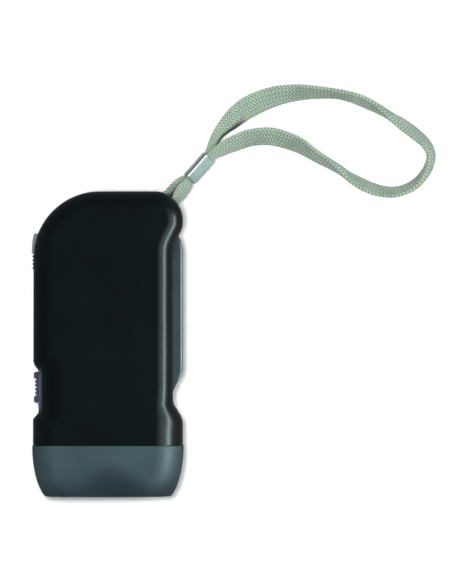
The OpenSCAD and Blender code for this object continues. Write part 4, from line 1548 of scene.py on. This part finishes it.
    def grips(self) -> None:
        """Row of grip ribs beside the button, on its head side."""
        black = self.finishes.casing
        x, y = self.rib_from
        rib = capsule("rib", self.rib_r, self.rib_l, black)
        ribs = Repeater(Layout.ROW).make(
            "grip_ribs", rib, black, Count=self.rib_count,
            Start=(x * MM, y * MM, self.torch.mid * MM), Step=(0.0, -self.rib_pitch * MM, 0.0),
        )
        smooth_shade(ribs)
        place(ribs, Body.HOUSING, "black_casing")

    def screws(self) -> None:
        """Casing screws from below and gear-plate screws from above, with cross recesses."""
        on_points = Repeater(Layout.POINTS)
        steel = self.finishes.steel
        casing = self.casing_screw.make("casing screw", steel)
        shift(casing, (0.0, 0.0, self.casing_screw_z))
        plate = self.plate_screw.make("plate screw", steel)
        plate.data.transform(Matrix.Rotation(math.pi, 4, "X"))
        shift(plate, (0.0, 0.0, self.plate_screw_z))
        sets = {
            "casing_screws": (casing, self.screw_at, "housing_screws"),
            "gear_plate_screws": (plate, self.foot_at, "plate_screws"),
        }
        for name, (one, places, node) in sets.items():
            screws = on_points.make(name, one, steel, [(*at, 0.0) for at in places])
            smooth_shade(screws)
            place(screws, Body.HOUSING, "steel", node)


@dataclass
class Head:
    """The smoke-grey head with its seat for the lens."""

    torch: Torch
    finishes: Finishes
    taper: float = 4.3
    bend: float = 68.0
    proud: float = 0.3
    wall: float = 1.8
    corner_lever: float = 9.8
    corner_thumb: float = 7.3
    mouth: float = 8.1
    lens_lip: float = 1.2
    lens_t: float = 2.0
    lens_seat: float = 5.9
    gap: float = 0.2
    rear_r: float = 0.3
    rear_bend: float = 0.09
    corner_spread: float = 0.3
    outer_shares: Pair = (0.02, 0.98)
    outer_rows: int = 21
    inner_shares: Pair = (0.62, 0.0)
    inner_rows: int = 7

    def row(self, inset: float, spread: float, y: float) -> np.ndarray:
        """Loop of the head at one place along the torch.

        Args:
            inset: How far inside the head's widest outline it lies.
            spread: Change of the corner radii.
            y: Place along the torch.

        Returns:
            The points.
        """
        t = self.torch
        half_w, half_t = t.lever_x + self.proud - inset, t.mid - inset
        lever, thumb = self.corner_lever + spread, self.corner_thumb + spread
        loop = Outline([
            Corner(-half_w, -half_t, thumb), Corner(half_w, -half_t, lever),
            Corner(half_w, half_t, lever), Corner(-half_w, half_t, thumb),
        ]).loop()
        return np.column_stack([loop[:, 0], np.full(len(loop), y), t.mid + loop[:, 1]])

    def side(self, share: float, wall: float = 0.0) -> np.ndarray:
        """Loop on the bulging side of the head.

        Args:
            share: Share of the head's length from the joint.
            wall: How far inside the outer skin it lies.

        Returns:
            The points.
        """
        end = math.radians(self.bend)
        turn = math.asin(share * math.sin(end))
        inset = self.taper * (1 - math.cos(turn)) / (1 - math.cos(end))
        y = self.torch.joint_y - self.torch.head_l * share
        return self.row(inset + wall, self.corner_spread * inset - wall, y)

    def build(self) -> None:
        """Make the bezel with its lens seat."""
        t = self.torch
        front = t.front_y
        lip = front + self.lens_lip
        rows = [
            self.row(self.rear_r, 0.0, t.joint_y),
            self.row(self.rear_bend, 0.0, t.joint_y - self.rear_bend),
        ]
        rows += [self.side(share) for share in np.linspace(*self.outer_shares, self.outer_rows)]
        # Round the front rim, into the mouth and back to the lens seat
        rim = [
            (self.taper + 0.06, 1.2, front + 0.1),
            (self.taper + 0.35, 1.0, front),
            (self.mouth - 0.35, -2.2, front),
            (self.mouth - 0.1, -2.6, front + 0.1),
            (self.mouth, -2.8, front + 0.35),
            (self.mouth, -2.8, lip),
            (self.lens_seat, -0.8, lip),
            (self.lens_seat, -0.8, lip + self.gap + self.lens_t),
        ]
        rows += [self.row(*loop) for loop in rim]
        shares = np.linspace(*self.inner_shares, self.inner_rows)
        rows += [self.side(share, self.wall) for share in shares]
        bezel = add_piece("head_shell", *skin(rows, ring=True), self.finishes.head)
        smooth_shade(bezel)
        place(bezel, Body.HOUSING, "smoke_plastic", "head_bezel")


@dataclass
class Lever:
    """The squeeze lever with its toothed sector."""

    finishes: Finishes
    edge: float = 0.75
    soft_from: Pair = (18.8, -15.0)

    def build(self, nodes: Mapping[str, bpy.types.Object]) -> None:
        """Make the lever with rounded outer edges.

        Args:
            nodes: The frame's nodes by name.
        """
        x, y = self.soft_from
        lever = softened_copy(
            nodes["squeeze_lever"], "lever_grip", self.finishes.lever, self.edge,
            lambda p: p.x > x and p.y > y, clamp=False,
        )
        place(lever, Body.LEVER, "smoke_plastic", "squeeze_lever")


@dataclass
class Controls:
    """The sliding switch knob and the lever lock button."""

    torch: Torch
    finishes: Finishes
    knob_y: float = -14.7
    knob_l: float = 10.4
    knob_h: float = 10.0
    ridge: float = 2.3
    serrations: int = 4
    serration_pitch: float = 1.28
    serration_r: float = 0.42
    serration_gap: float = 0.6
    serration_proud: float = 0.08
    plate_drop: float = 0.95
    plate_r: float = 0.25
    ridge_drop: float = 0.1
    ridge_r: float = 0.6
    seat_gap: float = 0.02
    stem_half: Pair = (2.4, 2.2)
    stem_lap: float = 0.2
    stem_short: float = 0.3
    stem_r: float = 0.1
    button_edge: float = 0.55
    button_from: float = -21.4

    def build(self, nodes: Mapping[str, bpy.types.Object]) -> None:
        """Make the knob and the button.

        Args:
            nodes: The frame's nodes by name.
        """
        self.knob()
        button = softened_copy(
            nodes["release_button"], "lock_button", self.finishes.button, self.button_edge,
            lambda p: p.x < self.button_from,
        )
        place(button, Body.BUTTON, "grey_plastic", "release_button")

    def knob(self) -> None:
        """Knob with a ridge at each end, fine serrations between and a stem behind."""
        t, slate = self.torch, self.finishes.knob
        base, crest = t.thumb_x + self.plate_drop, t.thumb_x + self.ridge_drop
        seat = t.notch_x - self.seat_gap
        half_l, half_h = self.knob_l / 2, self.knob_h / 2
        stem_l, stem_h = self.stem_half
        stem_end = t.notch_x + t.wall - self.stem_short
        boxes = {
            "knob_plate": ((base, -half_l), (seat, half_l), half_h, self.plate_r),
            "knob_front_ridge": ((crest, -half_l), (seat, -half_l + self.ridge), half_h, self.ridge_r),
            "knob_rear_ridge": ((crest, half_l - self.ridge), (seat, half_l), half_h, self.ridge_r),
            "knob_stem": ((seat - self.stem_lap, -stem_l), (stem_end, stem_l), stem_h, self.stem_r),
        }
        for name, (low, high, half, radius) in boxes.items():
            block = rounded_box(
                name, (low[0], self.knob_y + low[1], t.mid - half),
                (high[0], self.knob_y + high[1], t.mid + half), slate, radius,
            )
            smooth_shade(block)
            place(block, Body.SWITCH, "grey_plastic", "switch_knob")
        rib = capsule("serration", self.serration_r, self.knob_h - self.serration_gap, slate)
        x = base - self.serration_proud
        y = self.knob_y - self.serration_pitch * (self.serrations - 1) / 2
        ribs = Repeater(Layout.ROW).make(
            "knob_serrations", rib, slate, Count=self.serrations,
            Start=(x * MM, y * MM, t.mid * MM), Step=(0.0, self.serration_pitch * MM, 0.0),
        )
        smooth_shade(ribs)
        place(ribs, Body.SWITCH, "grey_plastic")


@dataclass
class WristStrap:
    """The webbing loop and the metal crimp that closes it."""

    finishes: Finishes
    width: float = 0.008
    thin: float = 0.001
    plump: float = 0.0019
    length: float = 0.238
    exit: Triple = (0.0225, 0.0495, 0.019)
    seat: CrimpSeat = CrimpSeat()
    crimp_t: float = 0.35
    crimp_seam: Pair = (0.62, 0.42)
    crimp_r: Pair = (0.45, 0.15)
    crimp_soft: float = 0.12
    section_points: int = 36
    section_power: float = 0.8
    flat_from: float = 0.015
    flat_over: float = 0.006
    edge_puff: float = 0.6
    edge_turn: float = 0.25
    rounds: int = 3
    # Route of the webbing in metres: x, y, z, roll from flat in degrees, width share
    route: tuple[tuple[float, float, float, float, float], ...] = (
        (0.0301, 0.0596, 0.0170, 143, 0.40),
        (0.02725, 0.05635, 0.0176, 139, 0.42),
        (0.0247, 0.0550, 0.0183, 124, 0.75),
        (0.02190, 0.05240, 0.0190, 116, 1.00),
        (0.01870, 0.04900, 0.0190, 108, 1.00),
        (0.0173, 0.0470, 0.0190, 90, 1.00),
        (0.0169, 0.0454, 0.0190, 90, 1.00),
        (0.0176, 0.0442, 0.0190, 90, 1.00),
        (0.0188, 0.0438, 0.0190, 90, 1.00),
        (0.0200, 0.0444, 0.0190, 90, 1.00),
        (0.02200, 0.04730, 0.0190, 77, 1.00),
        (0.0243, 0.0509, 0.0188, 60, 1.00),
        (0.0264, 0.0538, 0.0185, 52, 0.75),
        (0.0279, 0.0560, 0.0183, 37, 0.42),
        (0.0342, 0.0632, 0.0169, 37, 0.42),
        (0.0392, 0.0667, 0.0145, 44, 0.80),
        (0.0444, 0.0690, 0.0116, 48, 1.00),
        (0.0490, 0.0704, 0.0092, 48, 1.00),
        (0.0540, 0.0708, 0.0072, 45, 1.00),
        (0.0590, 0.0699, 0.0058, 48, 1.00),
        (0.0642, 0.0680, 0.0049, 53, 1.00),
        (0.0686, 0.0654, 0.0044, 64, 1.00),
        (0.0732, 0.0626, 0.0044, 72, 1.00),
        (0.0782, 0.0598, 0.0044, 86, 1.00),
        (0.0828, 0.0567, 0.0044, 110, 1.00),
        (0.0878, 0.0539, 0.0043, 117, 1.00),
        (0.0929, 0.0522, 0.0043, 115, 1.00),
        (0.0980, 0.0519, 0.0043, 112, 1.00),
        (0.1031, 0.0536, 0.0044, 108, 1.00),
        (0.1070, 0.0570, 0.0044, 99, 1.00),
        (0.1094, 0.0610, 0.0044, 85, 1.00),
        (0.1100, 0.0650, 0.0044, 74, 1.00),
        (0.1076, 0.0692, 0.0044, 66, 1.00),
        (0.1014, 0.0742, 0.0043, 63, 1.00),
        (0.0957, 0.0781, 0.0043, 78, 1.00),
        (0.0900, 0.0812, 0.0043, 106, 1.00),
        (0.0844, 0.0837, 0.0044, 110, 1.00),
        (0.0786, 0.0852, 0.0044, 106, 1.00),
        (0.0720, 0.0858, 0.0044, 116, 1.00),
        (0.0652, 0.0858, 0.0046, 128, 1.00),
        (0.0584, 0.0849, 0.0052, 142, 1.00),
        (0.0522, 0.0829, 0.0064, 153, 1.00),
        (0.0466, 0.0801, 0.0084, 155, 1.00),
        (0.0416, 0.0761, 0.0110, 148, 0.90),
        (0.0370, 0.0711, 0.0138, 141, 0.60),
        (0.03365, 0.06375, 0.0163, 143, 0.42),
        (0.0308, 0.0604, 0.0169, 143, 0.40),
    )

    def rows(self) -> np.ndarray:
        """Places, rolls and width shares of the route, with rows added on one smooth curve."""
        rows = np.array(self.route)
        for _ in range(self.rounds):
            before = np.vstack([rows[:1], rows[:-2]])
            after = np.vstack([rows[2:], rows[-1:]])
            between = (9 * (rows[:-1] + rows[1:]) - before - after) / 16
            finer = np.empty((2 * len(rows) - 1, rows.shape[1]))
            finer[0::2], finer[1::2] = rows, between
            rows = finer
        return rows

    def section(self, width: float, thick: float) -> np.ndarray:
        """Plump section of the knitted webbing.

        Args:
            width, thick: Its sizes.

        Returns:
            Points across and away from the middle, walked around.
        """
        turn = np.linspace(0, 2 * math.pi, self.section_points, endpoint=False)
        across, away = np.cos(turn), np.sin(turn)
        return np.column_stack([
            width / 2 * np.sign(across) * np.abs(across) ** self.section_power,
            thick / 2 * np.sign(away) * np.abs(away) ** self.section_power,
        ])

    def across(self, section: np.ndarray) -> np.ndarray:
        """Lengths over the section's surface from the middle of the face that each point is on.

        Args:
            section: Points of the section, walked around from one edge.

        Returns:
            One length for each point.
        """
        steps = np.linalg.norm(np.roll(section, -1, axis=0) - section, axis=1)
        walked = np.cumsum(steps) - steps
        return np.abs(walked - steps.sum() / 2) - steps.sum() / 4

    def webbing(self) -> bpy.types.Object:
        """The loop of webbing, plump where it lies low, with its own map in millimetres."""
        rows = self.rows()
        travel = np.gradient(rows[:, :3], axis=0)
        travel /= np.linalg.norm(travel, axis=1, keepdims=True)
        steps = np.linalg.norm(np.diff(rows[:, :3], axis=0), axis=1)
        run = np.concatenate([[0.0], np.cumsum(steps)])
        loops, layout = [], []
        for row, forward, at in zip(rows, travel, run):
            side = np.array((-forward[1], forward[0], 0.0))
            side /= np.linalg.norm(side)
            up = np.cross(forward, side)
            roll = math.radians(row[3])
            across = side * math.cos(roll) + up * math.sin(roll)
            away = np.cross(forward, across)
            low = min(max((self.flat_from - row[2]) / self.flat_over, 0.0), 1.0)
            on_edge = math.exp(-((math.cos(roll) / self.edge_turn) ** 2))
            puff = self.plump * (1 + self.edge_puff * on_edge)
            thick = self.thin + (puff - self.thin) * ease(low)
            section = self.section(self.width * row[4], thick * (2 + row[4]) / 3)
            loops.append(row[:3] + section[:, :1] * across + section[:, 1:] * away)
            spread = self.across(section) / row[4]
            layout.append(np.column_stack([np.full(len(section), at), spread]) / MM)
        strap = add_piece("webbing_loop", *skin(loops), self.finishes.webbing, unit=1.0)
        flat = np.concatenate(layout)
        layer = strap.data.uv_layers.new(name="webbing")
        corners = np.array([loop.vertex_index for loop in strap.data.loops])
        layer.data.foreach_set("uv", flat[corners].astype(np.float32).ravel())
        strap.data.shade_smooth()
        return strap

    def crimp_side(self, inset: float, r: float) -> list[Pair]:
        """Folded line of the crimp's sheet around its section, from one side of the seam to the other.

        Args:
            inset: How far inside the outer face it lies.
            r: Corner radius.

        Returns:
            Points across the crimp.
        """
        half_y, half_z = (half - inset for half in self.seat.half)
        seam = self.crimp_seam[0] - self.seat.half[0]
        points = [(seam, half_z)]
        for y, z, first in ((-1, 1, 90), (-1, -1, 180), (1, -1, 270), (1, 1, 0)):
            centre = (y * (half_y - r), z * (half_z - r))
            for angle in range(first, first + 91, 15):
                turn = math.radians(angle)
                points.append((centre[0] + r * math.cos(turn), centre[1] + r * math.sin(turn)))
        return points + [(seam + self.crimp_seam[1], half_z)]

    def crimp(self) -> bpy.types.Object:
        """Folded metal sleeve around the two strands, with the seam beside its upper ridge."""
        end, soft = self.seat.length / 2, self.crimp_soft
        outer_r, inner_r = self.crimp_r
        rows = []
        for x, inset in ((-end, soft), (-end + soft, 0.0), (end - soft, 0.0), (end, soft)):
            outside = self.crimp_side(inset, outer_r)
            inside = self.crimp_side(self.crimp_t - inset / 2, inner_r)
            rows.append(np.array([(x, y, z) for y, z in outside + inside[::-1]]))
        sleeve = add_piece("crimp_sleeve", *skin(rows), self.finishes.crimp)
        sleeve.data.transform(self.seat.turn())
        shift(sleeve, self.seat.at)
        smooth_shade(sleeve)
        return sleeve

    def build(self) -> None:
        strap = self.webbing()
        sleeve = self.crimp()
        place(strap, Body.HOUSING, "webbing", "wrist_strap")
        place(sleeve, Body.HOUSING, "crimp_metal", "strap_crimp")
        self.rows()[:, :3].tolist()


@dataclass
class Works:
    """The pieces inside and behind the lens, which keep their frame shapes."""

    finishes: Finishes
    dress: dict[str, str] = field(default_factory=lambda: {
        "front_lens": "lens", "reflector": "silver", "leds": "resin", "led_board": "board",
        "lever_pin": "steel", "lever_spring": "spring", "clutch_pinion": "nylon",
        "drive_gear": "nylon", "drive_axle": "steel", "idler_gear": "nylon", "idler_axle": "steel",
        "rotor_pinion": "brass", "flywheel": "steel", "rotor_magnet": "magnet",
        "rotor_shaft": "steel", "rotor_bush": "brass", "stator_cup": "steel",
        "coil_bobbin": "nylon", "coil_winding": "copper", "gear_plate": "dark",
        "circuit_board": "board", "rectifier_diodes": "dark", "coin_cell": "steel",
        "cell_clip": "spring", "switch_slider": "dark", "switch_body": "spring",
        "release_latch": "nylon", "latch_pin": "steel", "latch_spring": "spring",
        "strap_pin": "steel", "led_leads": "lead", "coil_leads": "copper",
    })

    def build(self, nodes: Mapping[str, bpy.types.Object]) -> None:
        """Give each frame node its finish.

        Args:
            nodes: The frame's nodes by name.
        """
        for name, finish in self.dress.items():
            materials = nodes[name].data.materials
            materials.clear()
            materials.append(getattr(self.finishes, finish))
            LOG.info("%s: %s", name, finish)


@dataclass(frozen=True)
class Lamp:
    """A rectangular lamp: place and size in metres, power in watts."""

    name: str
    at: Triple
    watts: float
    size: Pair
    reach: Reach


@dataclass
class Studio:
    """White table, soft light and the camera above it."""

    mm_per_pixel: float = 0.34
    frame_pixels: tuple[int, int] = (452, 584)
    torch_pixel: Pair = (108.3, 343.9)
    distance: float = 2600.0
    sensor: float = 36.0
    view_end: float = 20.0
    table: float = 4.0
    table_drop: float = 2e-4
    plain: Triple = (1.0, 1.0, 1.0)
    gloss: Triple = (0.84, 0.98, 1.0)
    aim: Triple = (0.0, 0.0, 0.02)
    # Heights on the surroundings and how bright they are there
    walls: tuple[Pair, ...] = ((0.0, 0.2), (0.2, 0.12), (0.6, 0.07), (1.0, 0.05))
    wall_tint: Triple = (0.85, 0.97, 1.0)
    lamps: tuple[Lamp, ...] = (
        Lamp("key", (-0.028, 0.028, 1.3), 14.6, (0.09, 0.09), Reach.MATT),
        Lamp("ceiling", (0.0, 0.0, 1.5), 2.5, (2.6, 2.6), Reach.MATT),
        Lamp("lever side window", (0.92, 0.42, 0.6), 5.5, (0.9, 0.5), Reach.MATT),
        Lamp("lever side strip", (0.76, -0.17, 0.46), 9.2, (0.76, 0.19), Reach.GLOSSY),
        Lamp("lever side glow", (0.55, -0.1, 0.85), 2.2, (0.8, 0.5), Reach.GLOSSY),
    )

    def build(self, mid: float) -> None:
        """Set up the table, the lamps, the surroundings and the camera.

        Args:
            mid: Height of the torch's middle plane.
        """
        bpy.context.scene.view_settings.view_transform = "Standard"
        self.camera(mid)
        self.floor()
        self.surroundings()
        for lamp in self.lamps:
            self.hang(lamp)

    def camera(self, mid: float) -> None:
        """Camera straight above, at the photograph's scale on the middle plane.

        Args:
            mid: Height of the torch's middle plane.
        """
        wide, high = self.frame_pixels
        x = (wide / 2 - self.torch_pixel[0]) * self.mm_per_pixel
        y = (self.torch_pixel[1] - high / 2) * self.mm_per_pixel
        data = bpy.data.cameras.new("camera")
        data.sensor_width = self.sensor
        data.lens = self.sensor * self.distance / (high * self.mm_per_pixel)
        data.clip_end = self.view_end
        camera = put_in_scene("camera", data)
        camera.location = Vector((x, y, mid + self.distance)) * MM
        bpy.context.scene.camera = camera

    def floor(self) -> None:
        """Pale table that shows white to the camera and keeps the shadow."""
        paint = Paint("white table")
        path = paint.node("ShaderNodeLightPath").outputs
        pale = paint.mix(paint.noise(6, 2), srgb(236, 236, 236), srgb(240, 240, 240))
        mirrored = Value(paint, path["Is Glossy Ray"]) * 0.85
        seen = Value(paint, path["Is Camera Ray"]) * 0.2
        paint.shade({
            "Base Color": paint.mix(mirrored, pale, srgb(24, 30, 33)),
            "Roughness": 0.9,
            "Specular IOR Level": 0.1,
            "Emission Color": paint.mix(seen, BLACK, WHITE),
            "Emission Strength": 1.0,
        })
        half = self.table / 2
        around = ((-half, -half), (half, -half), (half, half), (-half, half))
        corners = [(x, y, -self.table_drop) for x, y in around]
        table = add_piece("table", corners, [[0, 1, 2, 3]], paint.material, unit=1.0)

    def surroundings(self) -> None:
        """Bright walls and a dim ceiling, with white behind for the camera."""
        world = bpy.data.worlds.new("studio")
        world.use_nodes = True
        bpy.context.scene.world = world
        maker = NodeMaker(world.node_tree)
        around = maker.node("ShaderNodeTexCoord").outputs["Generated"]
        height = maker.node("ShaderNodeSeparateXYZ", None, {0: around}).outputs["Z"]
        stops = [(at, (*(part * level for part in self.wall_tint), 1.0)) for at, level in self.walls]
        ramp = maker.node("ShaderNodeValToRGB", {"stops": stops}, {0: height})
        seen = maker.node("ShaderNodeLightPath").outputs["Is Camera Ray"]
        pick = maker.node("ShaderNodeMix", {"data_type": "RGBA"}, {0: seen, 6: ramp.outputs[0], 7: WHITE})
        maker.wire(maker.tree.nodes["Background"], {"Color": pick.outputs[2]})

    def hang(self, lamp: Lamp) -> None:
        """Hang a lamp and aim it at the torch.

        Args:
            lamp: The lamp, which lights matt surfaces or is mirrored in glossy ones.
        """
        glossy = lamp.reach is Reach.GLOSSY
        data = bpy.data.lights.new(lamp.name, "AREA")
        data.shape = "RECTANGLE"
        data.size, data.size_y = lamp.size
        data.energy = lamp.watts
        data.color = self.gloss if glossy else self.plain
        item = put_in_scene(lamp.name, data)
        item.location = lamp.at
        way = Vector(self.aim) - Vector(lamp.at)
        item.rotation_euler = way.to_track_quat("-Z", "Y").to_euler()
        item.visible_diffuse, item.visible_glossy = not glossy, glossy


def main() -> None:
    """Dress the frame and set up the studio."""
    logging.basicConfig(level=logging.INFO, format="%(name)s %(message)s")
    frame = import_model()
    nodes = frame["nodes"]
    torch = Torch()
    finishes = Finishes()
    Studio().build(torch.mid)
    WristStrap(finishes).build()
    Casing(torch, finishes).build()
    Head(torch, finishes).build()
    Lever(finishes).build(nodes)
    Controls(torch, finishes).build(nodes)
    Works(finishes).build(nodes)


if __name__ == "__main__":
    main()
